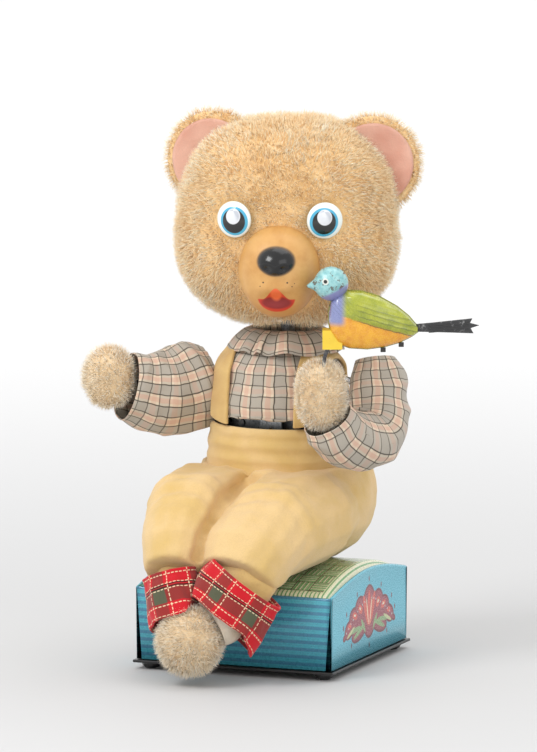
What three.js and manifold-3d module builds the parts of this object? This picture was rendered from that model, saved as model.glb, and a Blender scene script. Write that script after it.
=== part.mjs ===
// A clockwork toy: a plush-headed bear in a plaid shirt and felt overalls sits on a
// lithographed tin box and holds a tin bird on a wire.
// Millimetres, +Z up. The bear faces -Y, and its own left side is +X.
// Everything is laid out from the middle of the box on the surface that it stands on, and the
// whole toy is then shifted so that its origin is the middle of its own bottom.

import * as THREE from 'three';
import { mergeVertices } from 'three/addons/utils/BufferGeometryUtils.js';
import Module from 'manifold-3d';

const wasm = await Module();
wasm.setup();

// ---------------------------------------------------------------- driving dimensions

const GAP = 0.3;
const TIN = 0.9;

const BOX = { width: 72, depth: 73, bottom: 3.6, wallTop: 28.9, archRise: 4.9 };
const SEAT = { inset: 1.4, bottom: 25.5, edge: 28.6, crown: 35.4, cornerRadius: 7 };
const BASE = { width: 74, depth: 75, bottom: 2.3, thickness: 1 };
const PAD = { radius: 3.2, height: 2, inset: 5 };

const TORSO = { x: 0, y: 8, squash: 0.85 };
const TORSO_PROFILE = [
  [19, 37.5], [22, 44], [23, 56], [22.5, 74], [22, 90], [19.5, 102], [13, 109.5], [8.5, 111],
];
const SHIRT_EASE = 0.4;
const SHIRT_CLOTH = 2;
const SHIRT_HEM = 86.5;
const SHIRT_NECK = 110.6;
const COLLAR = { inner: 10.5, outer: 20.5, bottom: 111.2, top: 117.1 };

const PLATES = { front: -2, rear: 16, thickness: 1.2, halfWidth: 16, bottom: 42, top: 97 };
const GREAT = { x: 0, z: 58, teeth: 36, module: 0.8, y: 10.6, thickness: 1.6 };
const SECOND_PINION = { teeth: 9, module: 0.8 };
const SECOND = { teeth: 30, module: 0.6, y: 0.3, thickness: 1 };
const FLY_PINION = { teeth: 10, module: 0.6 };
const MESH_PLAY = 0.15;
const ARBOR_RADIUS = 1.2;
const BORE_RADIUS = 1.55;
const SPRING = { inner: 3.4, outer: 13.2, turns: 4, band: 0.7, y: 2.1, height: 7.4 };
const KEY = {
  start: 37.8, socket: 8, boreDepth: 5, thickness: 2, wing: 8.5, loop: 5.4, loopHole: 2.6, loopHeight: 9.5,
};

const NECK = { x: 2, y: 10, radius: 2.4, bottom: 100.5, top: 158 };
const HEAD = {
  x: 2, y: 10, z: 152, turn: 16, halfWidth: 37, halfDepth: 33, halfHeight: 34.5,
  plush: 3.2, form: 1.6, roundness: 2.5, neckOpening: 12,
};
const MUZZLE = { y: -31.5, z: -13, halfWidth: 13.8, halfDepth: 14.5, halfHeight: 15.6 };
const EYE = { x: 15.6, y: -31.2, z: 4.8, radius: 6.4, thickness: 2.4, tilt: 0.36 };
const EARS = [
  { side: 'right', x: -28.5, z: 22.5, lean: 0.5, turn: -0.25 },
  { side: 'left', x: 32, z: 21.5, lean: -0.62, turn: 0.25 },
];
const EAR = { radius: 15.5, thickness: 7.5, y: 1, lining: 12.2, liningThickness: 1.4 };

const SHOULDER = { y: 6, z: 98, rod: 1.2 };
const ARMPIT = 26.6;

const BIRD = { x: 46.2, y: -23, z: 124.6, turn: 21.3, flatness: 0.54, head: 5.9 };
const BIRD_WIRE = { radius: 0.7 };

// ---------------------------------------------------------------- geometry helpers

const DEGREE = Math.PI / 180;
const toy = new THREE.Group();

function enclosedVolume(geometry) {
  const p = geometry.attributes.position;
  const index = geometry.index;
  const corners = [new THREE.Vector3(), new THREE.Vector3(), new THREE.Vector3()];
  let volume = 0;
  for (let i = 0; i < index.count; i += 3) {
    corners.forEach((corner, k) => corner.fromBufferAttribute(p, index.getX(i + k)));
    volume += corners[0].dot(corners[1].cross(corners[2])) / 6;
  }
  return volume;
}

// One closed surface: shared corners merged, collapsed triangles dropped, faces outward.
function closed(geometry) {
  const bare = geometry.clone();
  bare.deleteAttribute('normal');
  bare.deleteAttribute('uv');
  const merged = mergeVertices(bare, 1e-4);
  const kept = [];
  for (let i = 0; i < merged.index.count; i += 3) {
    const [a, b, c] = [0, 1, 2].map((k) => merged.index.getX(i + k));
    if (a !== b && b !== c && c !== a) kept.push([a, b, c]);
  }
  merged.setIndex(kept.flat());
  if (enclosedVolume(merged) < 0) merged.setIndex(kept.map(([a, b, c]) => [a, c, b]).flat());
  merged.clearGroups();
  return merged;
}

function solid(geometry) {
  const surface = closed(geometry);
  return new wasm.Manifold(new wasm.Mesh({
    numProp: 3,
    vertProperties: new Float32Array(surface.attributes.position.array),
    triVerts: new Uint32Array(surface.index.array),
  }));
}

function surfaceOf(body) {
  const mesh = body.getMesh();
  const geometry = new THREE.BufferGeometry();
  geometry.setAttribute('position', new THREE.BufferAttribute(mesh.vertProperties, 3));
  geometry.setIndex(new THREE.BufferAttribute(mesh.triVerts, 1));
  return geometry;
}

const cut = (first, ...others) => surfaceOf(others.reduce((s, g) => s.subtract(solid(g)), solid(first)));
const join = (first, ...others) => surfaceOf(others.reduce((s, g) => s.add(solid(g)), solid(first)));
const common = (first, second) => surfaceOf(solid(first).intersect(solid(second)));

// A box from its lowest and highest corners.
function block(low, high) {
  const size = high.map((value, axis) => value - low[axis]);
  const middle = high.map((value, axis) => (value + low[axis]) / 2);
  return new THREE.BoxGeometry(...size).translate(...middle);
}

// A body turned about the Z axis from [radius, height] points.
function turned(profile, segments = 32) {
  const points = profile.map(([radius, height]) => new THREE.Vector2(radius, height));
  return closed(new THREE.LatheGeometry(points, segments).rotateX(Math.PI / 2));
}

function ball(rx, ry, rz, around = 24, rings = 16) {
  return closed(new THREE.SphereGeometry(1, around, rings).rotateX(Math.PI / 2).scale(rx, ry, rz));
}

// A ball swelled towards a rounded box; a higher roundness exponent is boxier.
function pillow(rx, ry, rz, exponent, around = 32, rings = 22) {
  const geometry = ball(1, 1, 1, around, rings);
  const p = geometry.attributes.position;
  for (let i = 0; i < p.count; i += 1) {
    const reach = ['getX', 'getY', 'getZ']
      .reduce((sum, axis) => sum + Math.abs(p[axis](i)) ** exponent, 0) ** (-1 / exponent);
    p.setXYZ(i, p.getX(i) * reach, p.getY(i) * reach, p.getZ(i) * reach);
  }
  return geometry.scale(rx, ry, rz);
}

// A round rod between two heights of the named axis, through the given middle.
function rod(axis, radius, from, to, middle, sides = 12) {
  const geometry = new THREE.CylinderGeometry(radius, radius, to - from, sides);
  if (axis === 'z') geometry.rotateX(Math.PI / 2).translate(middle[0], middle[1], (from + to) / 2);
  if (axis === 'y') geometry.translate(middle[0], (from + to) / 2, middle[1]);
  if (axis === 'x') geometry.rotateZ(Math.PI / 2).translate((from + to) / 2, middle[0], middle[1]);
  return closed(geometry);
}

// A flat piece drawn in X and Z, from y to y + thickness.
function standing(shape, y, thickness, bevel = 0) {
  const geometry = new THREE.ExtrudeGeometry(shape, {
    depth: thickness - 2 * bevel,
    bevelEnabled: bevel > 0,
    bevelThickness: bevel,
    bevelSize: bevel,
    bevelOffset: -bevel,
    bevelSegments: 2,
    curveSegments: 6,
  });
  return closed(geometry.rotateX(Math.PI / 2).translate(0, y + thickness - bevel, 0));
}

function curveThrough(points) {
  return new THREE.CatmullRomCurve3(points.map((point) => new THREE.Vector3(...point)));
}

// Wire or tube of one radius along a smooth curve.
function wire(points, radius, steps = 24, sides = 8) {
  const section = new THREE.Shape(
    Array.from({ length: sides }, (unused, k) => {
      const angle = (2 * Math.PI * k) / sides;
      return new THREE.Vector2(radius * Math.cos(angle), radius * Math.sin(angle));
    }),
  );
  const extrudePath = curveThrough(points);
  return closed(new THREE.ExtrudeGeometry(section, { steps, extrudePath, bevelEnabled: false }));
}

// A turned body bent along a curve: profile points are [radius, share of the curve's length],
// wide is the direction of its wider side, and flat is how much thinner the other side is.
function limb(points, profile, wide, flat = 1, segments = 16) {
  const curve = curveThrough(points);
  const geometry = turned(profile, segments);
  const p = geometry.attributes.position;
  const broad = new THREE.Vector3();
  const narrow = new THREE.Vector3();
  const place = new THREE.Vector3();
  for (let i = 0; i < p.count; i += 1) {
    const along = Math.min(Math.max(p.getZ(i), 0), 1);
    const tangent = curve.getTangentAt(along);
    narrow.crossVectors(tangent, new THREE.Vector3(...wide)).normalize();
    broad.crossVectors(narrow, tangent).normalize();
    place.copy(curve.getPointAt(along));
    place.addScaledVector(tangent, (p.getZ(i) - along) * curve.getLength());
    place.addScaledVector(broad, p.getX(i)).addScaledVector(narrow, p.getY(i) * flat);
    p.setXYZ(i, place.x, place.y, place.z);
  }
  return closed(geometry);
}

// ---------------------------------------------------------------- finishes

const FINISH = {
  litho: [0x5cabb8, 0.35, 0.6],
  seat: [0xdedab8, 0.35, 0.5],
  blackTin: [0x14161a, 0.4, 0.6],
  casing: [0x1f2024, 0.45, 0.6],
  steel: [0x9a9fa3, 0.35, 0.9],
  brass: [0xb08d45, 0.35, 0.9],
  spring: [0x4a5560, 0.3, 0.9],
  plush: [0xccaa7a, 0.95, 0],
  paw: [0xdcc096, 0.95, 0],
  pinkFelt: [0xe0ad94, 0.95, 0],
  whiteFelt: [0xe0d4c0, 0.95, 0],
  vinyl: [0xd1a361, 0.5, 0],
  eye: [0xf0f4f6, 0.2, 0],
  card: [0x8a7355, 0.9, 0],
  plaid: [0xa99e8a, 0.9, 0],
  felt: [0xdbbd7a, 0.95, 0],
  tartan: [0xbf2028, 0.9, 0],
  birdBlue: [0x8fc2c2, 0.4, 0.3],
  birdBody: [0xb8c233, 0.4, 0.3],
  birdTail: [0x383838, 0.5, 0.4],
  birdBlock: [0xebc733, 0.5, 0.2],
};

function piece(name, geometry, finish, parent = toy) {
  const [color, roughness, metalness] = FINISH[finish];
  const material = new THREE.MeshStandardMaterial({ color, roughness, metalness });
  const mesh = new THREE.Mesh(geometry, material);
  mesh.name = name;
  parent.add(mesh);
  return mesh;
}

// ---------------------------------------------------------------- tin box

// Outline of the box's side: straight bottom, arched top.
function sideOutline(halfDepth, bottom, edge, rise) {
  const shape = new THREE.Shape();
  shape.moveTo(-halfDepth, bottom);
  shape.lineTo(halfDepth, bottom);
  shape.lineTo(halfDepth, edge);
  const steps = 12;
  for (let i = 1; i < steps; i += 1) {
    const share = i / steps;
    shape.lineTo(halfDepth * (1 - 2 * share), edge + rise * Math.sin(Math.PI * share));
  }
  shape.lineTo(-halfDepth, edge);
  shape.closePath();
  return shape;
}

// The side outline lies in Y and Z and runs through the width.
function acrossWidth(shape, halfWidth) {
  const geometry = new THREE.ExtrudeGeometry(shape, { depth: 2 * halfWidth, bevelEnabled: false });
  return closed(geometry.rotateX(Math.PI / 2).rotateZ(Math.PI / 2).translate(-halfWidth, 0, 0));
}

function seatBlock(grow, bottom) {
  const halfDepth = BOX.depth / 2 - SEAT.inset + grow;
  const rise = SEAT.crown - SEAT.edge;
  const shape = sideOutline(halfDepth, bottom, SEAT.edge + grow, rise);
  return acrossWidth(shape, BOX.width / 2 - SEAT.inset + grow);
}

function makeBox() {
  const { width, depth, bottom, wallTop, archRise } = BOX;
  const outer = acrossWidth(sideOutline(depth / 2, bottom, wallTop, archRise), width / 2);
  const hollow = block(
    [-width / 2 + TIN, -depth / 2 + TIN, bottom - 1],
    [width / 2 - TIN, depth / 2 - TIN, wallTop + archRise + 1],
  );
  piece('box_shell', cut(outer, hollow), 'litho');

  const crown = seatBlock(0, SEAT.bottom);
  const below = seatBlock(-TIN, SEAT.bottom - 1).translate(0, 0, -TIN);
  piece('seat_top', cut(crown, below), 'seat');

  const baseTop = BASE.bottom + BASE.thickness;
  const plate = block(
    [-BASE.width / 2, -BASE.depth / 2, BASE.bottom],
    [BASE.width / 2, BASE.depth / 2, baseTop],
  );
  piece('base_plate', plate, 'blackTin');

  for (const [frontBack, y] of [['front', -1], ['rear', 1]]) {
    for (const [leftRight, x] of [['right', -1], ['left', 1]]) {
      const pad = turned([
        [0, 0], [PAD.radius * 0.55, 0], [PAD.radius * 0.9, PAD.height * 0.4],
        [PAD.radius, PAD.height * 0.8], [PAD.radius, PAD.height], [0, PAD.height],
      ], 12);
      pad.translate(x * (BASE.width / 2 - PAD.inset), y * (BASE.depth / 2 - PAD.inset), 0);
      piece(`foot_pad_${frontBack}_${leftRight}`, pad, 'blackTin');
    }
  }
}

// ---------------------------------------------------------------- torso casing and clothes

// A turned body around the torso's upright axis, out from the casing by the given amount.
function aroundTorso(profile, out = 0, segments = 18) {
  const grown = profile.map(([radius, height]) => [radius > 0 ? radius + out : 0, height]);
  return turned(grown, segments).scale(1, TORSO.squash, 1).translate(TORSO.x, TORSO.y, 0);
}

// The casing's profile closed to the axis, from one height to another.
function torsoFill(out, bottom, top) {
  const inside = TORSO_PROFILE.filter(([, height]) => height > bottom && height < top);
  const ends = [bottom, top].map((height) => [torsoRadius(height), height]);
  const ring = [ends[0], ...inside, ends[1]];
  return aroundTorso([[0, bottom], ...ring, [0, top]], out);
}

function torsoRadius(height) {
  const last = TORSO_PROFILE.length - 1;
  if (height <= TORSO_PROFILE[0][1]) return TORSO_PROFILE[0][0];
  if (height >= TORSO_PROFILE[last][1]) return TORSO_PROFILE[last][0];
  const above = TORSO_PROFILE.findIndex(([, z]) => z >= height);
  const [[r0, z0], [r1, z1]] = [TORSO_PROFILE[above - 1], TORSO_PROFILE[above]];
  return r0 + ((r1 - r0) * (height - z0)) / (z1 - z0);
}

const SHIRT_OUT = SHIRT_EASE + SHIRT_CLOTH;
const armHole = (radius, from, to) => rod('x', radius, from, to, [SHOULDER.y, SHOULDER.z]);

function makeCasing() {
  const [first, last] = [TORSO_PROFILE[0], TORSO_PROFILE[TORSO_PROFILE.length - 1]];
  const outer = aroundTorso([[0, first[1]], ...TORSO_PROFILE, [0, last[1]]]);
  const inner = torsoFill(-TIN, first[1] + TIN, last[1] - TIN);
  const neckHole = rod('z', NECK.radius + 1.2, last[1] - 5, last[1] + 5, [NECK.x, NECK.y]);
  const keyHole = rod('y', ARBOR_RADIUS + 0.8, TORSO.y, TORSO.y + 40, [GREAT.x, GREAT.z]);
  const belly = block([-14, -20, 78.5], [11, -2, 85.5]);
  const shell = cut(outer, inner, neckHole, keyHole, belly, armHole(2.4, -40, 40));
  const front = block([-50, -60, 0], [50, TORSO.y - GAP / 2, 140]);
  const rear = block([-50, TORSO.y + GAP / 2, 0], [50, 80, 140]);
  piece('torso_shell_front', common(shell, front), 'casing');
  piece('torso_shell_rear', common(shell, rear), 'casing');
}

function makeShirt() {
  const shell = cut(
    torsoFill(SHIRT_OUT, SHIRT_HEM, SHIRT_NECK),
    torsoFill(SHIRT_EASE, SHIRT_HEM - 1, SHIRT_NECK + 1),
    armHole(4, -40, 40),
  );
  piece('shirt_body', shell, 'plaid');
  const { inner, outer, bottom, top } = COLLAR;
  const collar = turned([
    [inner, bottom], [outer - 2, bottom], [outer, bottom + 3], [outer - 3, top],
    [inner + 1, top], [inner, top - 2], [inner, bottom],
  ], 28);
  piece('shirt_collar', collar.scale(1, 0.88, 1).translate(NECK.x, NECK.y - 1, 0), 'plaid');
}

const WAIST = { bottom: 68, top: 82.5, out: 3.4 };

function makeOveralls() {
  const hips = pillow(31, 25, 25, 2.4, 18, 11).translate(1, 12, 57);
  const belly = pillow(27, 24, 17, 2.3, 18, 9).translate(0, 8, 66);
  const rightLeg = limb(
    [[-12, 8, 54], [-17, -18, 55], [-17.5, -42, 51], [-15.5, -53, 38]],
    [[0, 0], [15, 0.02], [17, 0.3], [15.5, 0.6], [12, 0.85], [10, 1], [0, 1]],
    [1, 0, 0], 1, 14,
  );
  const leftLeg = limb(
    [[14, 8, 53], [15, -18, 52], [9.5, -40, 47], [7.2, -50, 36]],
    [[0, 0], [16, 0.02], [19, 0.3], [18, 0.6], [16.5, 0.85], [14.5, 1], [0, 1]],
    [1, 0, 0], 0.92, 14,
  );
  const body = join(hips, belly, rightLeg, leftLeg);
  const ceiling = block([-60, -90, WAIST.bottom - GAP], [60, 90, 130]);
  const keyHole = rod('y', ARBOR_RADIUS + 1.5, TORSO.y, TORSO.y + 60, [GREAT.x, GREAT.z]);
  const inside = torsoFill(SHIRT_EASE, 37.2, 90);
  const box = seatBlock(GAP, 0);
  const walls = block([-36.5, -36.9, 0], [36.5, 36.9, BOX.wallTop + GAP]);
  const { wallTop, archRise, depth, width } = BOX;
  const arch = acrossWidth(sideOutline(depth / 2, 0, wallTop + GAP, archRise), width / 2 + GAP);
  const feetRoom = block([-60, -90, 0], [60, -30, 34]);
  piece('overalls', cut(body, ceiling, inside, keyHole, box, walls, arch, feetRoom), 'felt');

  const band = cut(
    torsoFill(SHIRT_EASE + WAIST.out, WAIST.bottom, WAIST.top),
    torsoFill(SHIRT_EASE, WAIST.bottom - 1, WAIST.top + 1),
  );
  piece('overalls_waistband', band, 'felt');

  const overShirt = cut(
    torsoFill(SHIRT_OUT + GAP + 1.6, WAIST.top + GAP, SHIRT_NECK - 1),
    torsoFill(SHIRT_OUT + GAP, WAIST.top - 1, SHIRT_NECK),
  );
  for (const [name, side] of [['right', -1], ['left', 1]]) {
    const edges = [side * 12.5, side * 20.5].sort((a, b) => a - b);
    const strap = common(overShirt, block([edges[0], -40, 70], [edges[1], 60, 112]));
    piece(`strap_${name}`, strap, 'felt');
  }
}

// A band of cloth about the end of a leg: it is open at both ends.
function cuff(points, halfWide, flat, wide) {
  const cloth = 1.6;
  const ring = [
    [halfWide, 0], [halfWide + 0.6, 0.5], [halfWide, 1],
    [halfWide - cloth, 1], [halfWide - cloth, 0], [halfWide, 0],
  ];
  return limb(points, ring, wide, flat, 18);
}

function makeCuffsAndFeet() {
  const leftCuffPath = [[8.6, -53.6, 31.5], [0.6, -56.4, 19.5]];
  const leftCuffSide = [0.85, 0, -0.53];
  const left = cuff(leftCuffPath, 16, 0.66, leftCuffSide);
  const right = cuff([[-15.5, -53.6, 33], [-11, -57.5, 20.5]], 11, 0.9, [0.8, 0, 0.5]);
  const rightFoot = ball(11.4, 10, 12, 18, 12).translate(-6.6, -60.6, 15.6);
  const leftFoot = ball(9, 5.4, 9.5, 16, 10).translate(3.8, -52, 20.5);
  const roomForFoot = ball(12.1, 10.7, 12.7, 18, 12).translate(-6.6, -60.6, 15.6);
  const half = (side) => block([side < 0 ? -60 : -5.4, -90, 0], [side < 0 ? -5.7 : 60, -30, 60]);
  const leg = block([-60, -90, 34 - GAP], [60, -30, 60]);
  piece('cuff_left', cut(common(left, half(1)), roomForFoot, leg), 'tartan');
  piece('cuff_right', cut(common(right, half(-1)), roomForFoot, leg), 'tartan');
  piece('foot_right', rightFoot, 'paw');
  const insideCuff = limb(
    leftCuffPath, [[0, 0], [13.8, 0], [13.8, 1], [0, 1]], leftCuffSide, 0.64, 18,
  );
  const sole = common(common(leftFoot, half(1)), insideCuff);
  piece('foot_left', cut(sole, roomForFoot, leg), 'whiteFelt');
}

// ---------------------------------------------------------------- clockwork

const circle = (x, z, radius) => new THREE.Path().absarc(x, z, radius, 0, 2 * Math.PI, false);

// A spur gear with one tooth centred on the given angle, and a bore for its arbor.
function gear({ teeth, module, y, thickness, x, z, toothAngle, bore }) {
  const pitch = (teeth * module) / 2;
  const outline = [];
  const corner = [[-1.1, -0.3], [0.75, -0.13], [0.75, 0.13], [-1.1, 0.3]];
  for (let k = 0; k < teeth; k += 1) {
    for (const [rise, share] of corner) {
      const angle = toothAngle + ((k + share) * 2 * Math.PI) / teeth;
      const radius = pitch + rise * module;
      outline.push(new THREE.Vector2(x + radius * Math.cos(angle), z + radius * Math.sin(angle)));
    }
  }
  const shape = new THREE.Shape(outline);
  if (bore) shape.holes.push(circle(x, z, bore));
  return standing(shape, y, thickness);
}

// The train climbs from the great wheel: each arbor stands at a distance and an angle from the last.
function trainAxes() {
  const toSecond = (GREAT.teeth + SECOND_PINION.teeth) * GREAT.module / 2 + MESH_PLAY;
  const second = { x: GREAT.x, z: GREAT.z + toSecond };
  const toFly = (SECOND.teeth + FLY_PINION.teeth) * SECOND.module / 2 + MESH_PLAY;
  const flyAngle = 150 * DEGREE;
  const fly = {
    x: second.x + toFly * Math.cos(flyAngle),
    z: second.z + toFly * Math.sin(flyAngle),
  };
  return { second, fly, flyAngle };
}

function mainspringShape() {
  const { inner, outer, turns, band } = SPRING;
  const steps = turns * 12;
  const edge = (offset) => Array.from({ length: steps + 1 }, (unused, i) => {
    const angle = (i / steps) * turns * 2 * Math.PI;
    const radius = inner + ((outer - inner) * i) / steps + offset;
    return new THREE.Vector2(GREAT.x + radius * Math.cos(angle), GREAT.z + radius * Math.sin(angle));
  });
  return new THREE.Shape([...edge(band), ...edge(0).reverse()]);
}

function keyShape() {
  const shape = new THREE.Shape();
  const { wing, loop, loopHole, loopHeight } = KEY;
  shape.moveTo(-2.2, -2);
  shape.lineTo(2.2, -2);
  shape.quadraticCurveTo(2.5, 3, 5.5, 3.6);
  shape.absarc(wing, loopHeight, loop, -Math.PI * 0.62, Math.PI * 0.75, false);
  shape.quadraticCurveTo(2, loopHeight, 0, loopHeight);
  shape.quadraticCurveTo(
    -2, loopHeight,
    -wing - loop * Math.cos(Math.PI * 0.75), loopHeight + loop * Math.sin(Math.PI * 0.75),
  );
  shape.absarc(-wing, loopHeight, loop, Math.PI * 0.25, Math.PI * 1.62, false);
  shape.quadraticCurveTo(-2.5, 3, -2.2, -2);
  shape.holes.push(circle(wing, loopHeight, loopHole));
  shape.holes.push(circle(-wing, loopHeight, loopHole));
  return shape;
}

function makeKey() {
  const arborHole = [GREAT.x, GREAT.z];
  piece('winding_arbor', rod('y', ARBOR_RADIUS, PLATES.front - 2, KEY.start + 4.4, arborHole), 'steel');
  const bow = new THREE.ExtrudeGeometry(keyShape(), { depth: KEY.thickness, bevelEnabled: false });
  bow.translate(GREAT.x, KEY.start + KEY.socket + 0.2, GREAT.z - KEY.thickness / 2);
  const socket = rod('y', 2.8, KEY.start, KEY.start + KEY.socket, arborHole, 18);
  const bore = rod('y', BORE_RADIUS, KEY.start - 1, KEY.start + KEY.boreDepth, arborHole, 12);
  piece('winding_key', cut(join(socket, bow), bore), 'steel');
}

function makeTrain() {
  const { second, fly, flyAngle } = trainAxes();
  const up = Math.PI / 2;
  piece('great_wheel', gear({ ...GREAT, toothAngle: up, bore: BORE_RADIUS }), 'brass');
  piece('mainspring', standing(mainspringShape(), SPRING.y, SPRING.height), 'spring');

  const secondPinion = gear({
    ...SECOND_PINION, ...second, y: GREAT.y - 0.4, thickness: GREAT.thickness + 0.8,
    toothAngle: -up + Math.PI / SECOND_PINION.teeth,
  });
  const secondArbor = rod('y', ARBOR_RADIUS, PLATES.front - 2.2, PLATES.rear + 2, [second.x, second.z]);
  piece('second_arbor', join(secondPinion, secondArbor), 'steel');
  piece('second_wheel', gear({ ...SECOND, ...second, toothAngle: flyAngle, bore: BORE_RADIUS }), 'brass');

  const flyPinion = gear({
    ...FLY_PINION, ...fly, y: SECOND.y - 0.4, thickness: SECOND.thickness + 0.8,
    toothAngle: flyAngle + Math.PI + Math.PI / FLY_PINION.teeth,
  });
  const flyArbor = rod('y', ARBOR_RADIUS, PLATES.front - 0.6, PLATES.rear + 2, [fly.x, fly.z]);
  piece('governor_arbor', join(flyPinion, flyArbor), 'steel');
  const vanes = new THREE.Shape();
  vanes.absellipse(fly.x, fly.z, 5.2, 2.6, 0, 2 * Math.PI, false);
  vanes.holes.push(circle(fly.x, fly.z, BORE_RADIUS));
  piece('governor_weight', standing(vanes, 6, 2.4), 'steel');

  const disc = new THREE.Shape();
  disc.absarc(second.x, second.z, 5.5, 0, 2 * Math.PI, false);
  disc.holes.push(circle(second.x, second.z, BORE_RADIUS));
  const pin = rod('y', 0.9, PLATES.front - 3, PLATES.front - 1.2, [second.x, second.z + 3.6], 12);
  piece('crank_disc', join(standing(disc, PLATES.front - 1.8, 1), pin), 'brass');

  const click = new THREE.Shape();
  click.absarc(-11.5, 47.5, 1.8, 0.5 * Math.PI, 1.5 * Math.PI, false);
  click.lineTo(-5.5, 48.6);
  click.lineTo(-5.5, 50);
  click.closePath();
  piece('click', standing(click, 13, 1.2), 'steel');
}

function makeFrame() {
  const { front, rear, thickness, halfWidth, bottom, top } = PLATES;
  const { second, fly } = trainAxes();
  const plate = () => {
    const shape = new THREE.Shape();
    shape.moveTo(-halfWidth, bottom);
    shape.lineTo(halfWidth, bottom);
    shape.lineTo(halfWidth, top - 6);
    shape.lineTo(halfWidth - 5, top);
    shape.lineTo(-halfWidth + 5, top);
    shape.lineTo(-halfWidth, top - 6);
    shape.closePath();
    [GREAT, second, fly].forEach((axis) => shape.holes.push(circle(axis.x, axis.z, BORE_RADIUS)));
    return shape;
  };
  piece('frame_plate_front', standing(plate(), front, thickness), 'steel');
  piece('frame_plate_rear', standing(plate(), rear, thickness), 'steel');
  const corners = [
    ['lower_right', -halfWidth + 1.8, bottom + 2.4], ['lower_left', halfWidth - 1.8, bottom + 2.4],
    ['upper_right', -halfWidth + 3, top - 8], ['upper_left', halfWidth - 3, top - 8],
  ];
  for (const [name, x, z] of corners) {
    piece(`pillar_${name}`, rod('y', 1.5, front + thickness + GAP, rear - GAP, [x, z], 12), 'steel');
  }
}

const LEVER = { x: 2, pivot: 62, top: 99.2, y: -6.3, thickness: 1 };

function makeDriveLever() {
  const { second } = trainAxes();
  const outline = new THREE.Shape();
  outline.absarc(LEVER.x, LEVER.pivot, 3, Math.PI, 2 * Math.PI, false);
  outline.lineTo(LEVER.x + 4, second.z - 5);
  outline.lineTo(LEVER.x + 4, second.z + 6);
  outline.lineTo(LEVER.x + 2, LEVER.top);
  outline.lineTo(LEVER.x - 2, LEVER.top);
  outline.lineTo(LEVER.x - 4, second.z + 6);
  outline.lineTo(LEVER.x - 4, second.z - 5);
  outline.closePath();
  const slot = new THREE.Path();
  slot.absarc(LEVER.x, second.z + 4, 1.5, 0, Math.PI, false);
  slot.absarc(LEVER.x, second.z - 3, 1.5, Math.PI, 2 * Math.PI, false);
  slot.closePath();
  outline.holes.push(slot, circle(LEVER.x, LEVER.pivot, BORE_RADIUS));
  piece('drive_lever', standing(outline, LEVER.y, LEVER.thickness), 'steel');
  const pivot = rod('y', ARBOR_RADIUS, LEVER.y - 0.8, PLATES.front - GAP, [LEVER.x, LEVER.pivot], 12);
  piece('lever_pivot', pivot, 'steel');
}

// ---------------------------------------------------------------- head

// Everything on the head is drawn about the head's middle, facing -Y.
const muzzleBody = (grow) => {
  const { y, z, halfWidth, halfDepth, halfHeight } = MUZZLE;
  return pillow(halfWidth + grow, halfDepth + grow, halfHeight + grow, 2.2, 20, 14)
    .translate(0, y, z);
};

function eyeDisc(side, grow) {
  const { radius, thickness, tilt, x, y, z } = EYE;
  const disc = turned([
    [0, -thickness / 2 - grow], [radius + grow, -thickness / 2 - grow],
    [radius + grow, thickness * 0.1], [radius * 0.72 + grow, thickness * 0.42 + grow],
    [0, thickness * 0.62 + grow],
  ], 20);
  return disc.rotateX(Math.PI / 2).rotateZ(side * tilt).translate(side * x, y, z);
}

function earDisc(ear, radius, thickness, forward) {
  const disc = pillow(radius, thickness / 2, radius, 2.1, 16, 6);
  disc.translate(0, forward, 0).rotateZ(ear.turn).rotateY(ear.lean);
  return disc.translate(ear.x, EAR.y, ear.z);
}

function makeHead() {
  const head = new THREE.Group();
  head.position.set(HEAD.x, HEAD.y, HEAD.z);
  head.rotation.z = HEAD.turn * DEGREE;
  toy.add(head);

  const { halfWidth, halfDepth, halfHeight, plush, form, roundness, neckOpening } = HEAD;
  const layer = (inset, around = 14, rings = 9) => pillow(
    halfWidth - inset, halfDepth - inset, halfHeight - inset, roundness, around, rings,
  );
  const neckHole = rod('z', neckOpening, -60, -18, [0, 0], 24);
  const eyeRooms = [-1, 1].map((side) => eyeDisc(side, GAP));
  const muzzleRoom = muzzleBody(GAP);
  const fur = cut(layer(0, 20, 13), layer(plush), neckHole, muzzleRoom, ...eyeRooms);
  piece('head_plush', fur, 'plush', head);
  const core = cut(layer(plush + GAP), layer(plush + GAP + form), neckHole, muzzleRoom, ...eyeRooms);
  piece('head_form', core, 'card', head);

  piece('muzzle', cut(muzzleBody(0), layer(plush + GAP + form + 3)), 'vinyl', head);
  for (const [name, side] of [['right', -1], ['left', 1]]) {
    piece(`eye_${name}`, eyeDisc(side, 0), 'eye', head);
  }
  const headRoom = layer(-GAP, 20, 13);
  for (const ear of EARS) {
    const liningDisc = (grow) => earDisc(
      ear, EAR.lining + grow, 2 * (EAR.liningThickness + grow), -EAR.thickness / 2,
    );
    const lining = cut(liningDisc(0), headRoom);
    const back = cut(earDisc(ear, EAR.radius, EAR.thickness, 0), headRoom, liningDisc(GAP));
    piece(`ear_${ear.side}`, back, 'plush', head);
    piece(`ear_lining_${ear.side}`, lining, 'pinkFelt', head);
  }

  const { radius, bottom, top } = NECK;
  const shaft = rod('z', radius, bottom, top, [NECK.x, NECK.y]);
  const arm = block([NECK.x - 1.6, LEVER.y + 1.3, bottom], [NECK.x + 1.6, NECK.y, bottom + 1.6]);
  piece('neck_post', join(shaft, arm), 'steel');
}

// ---------------------------------------------------------------- arms

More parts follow.
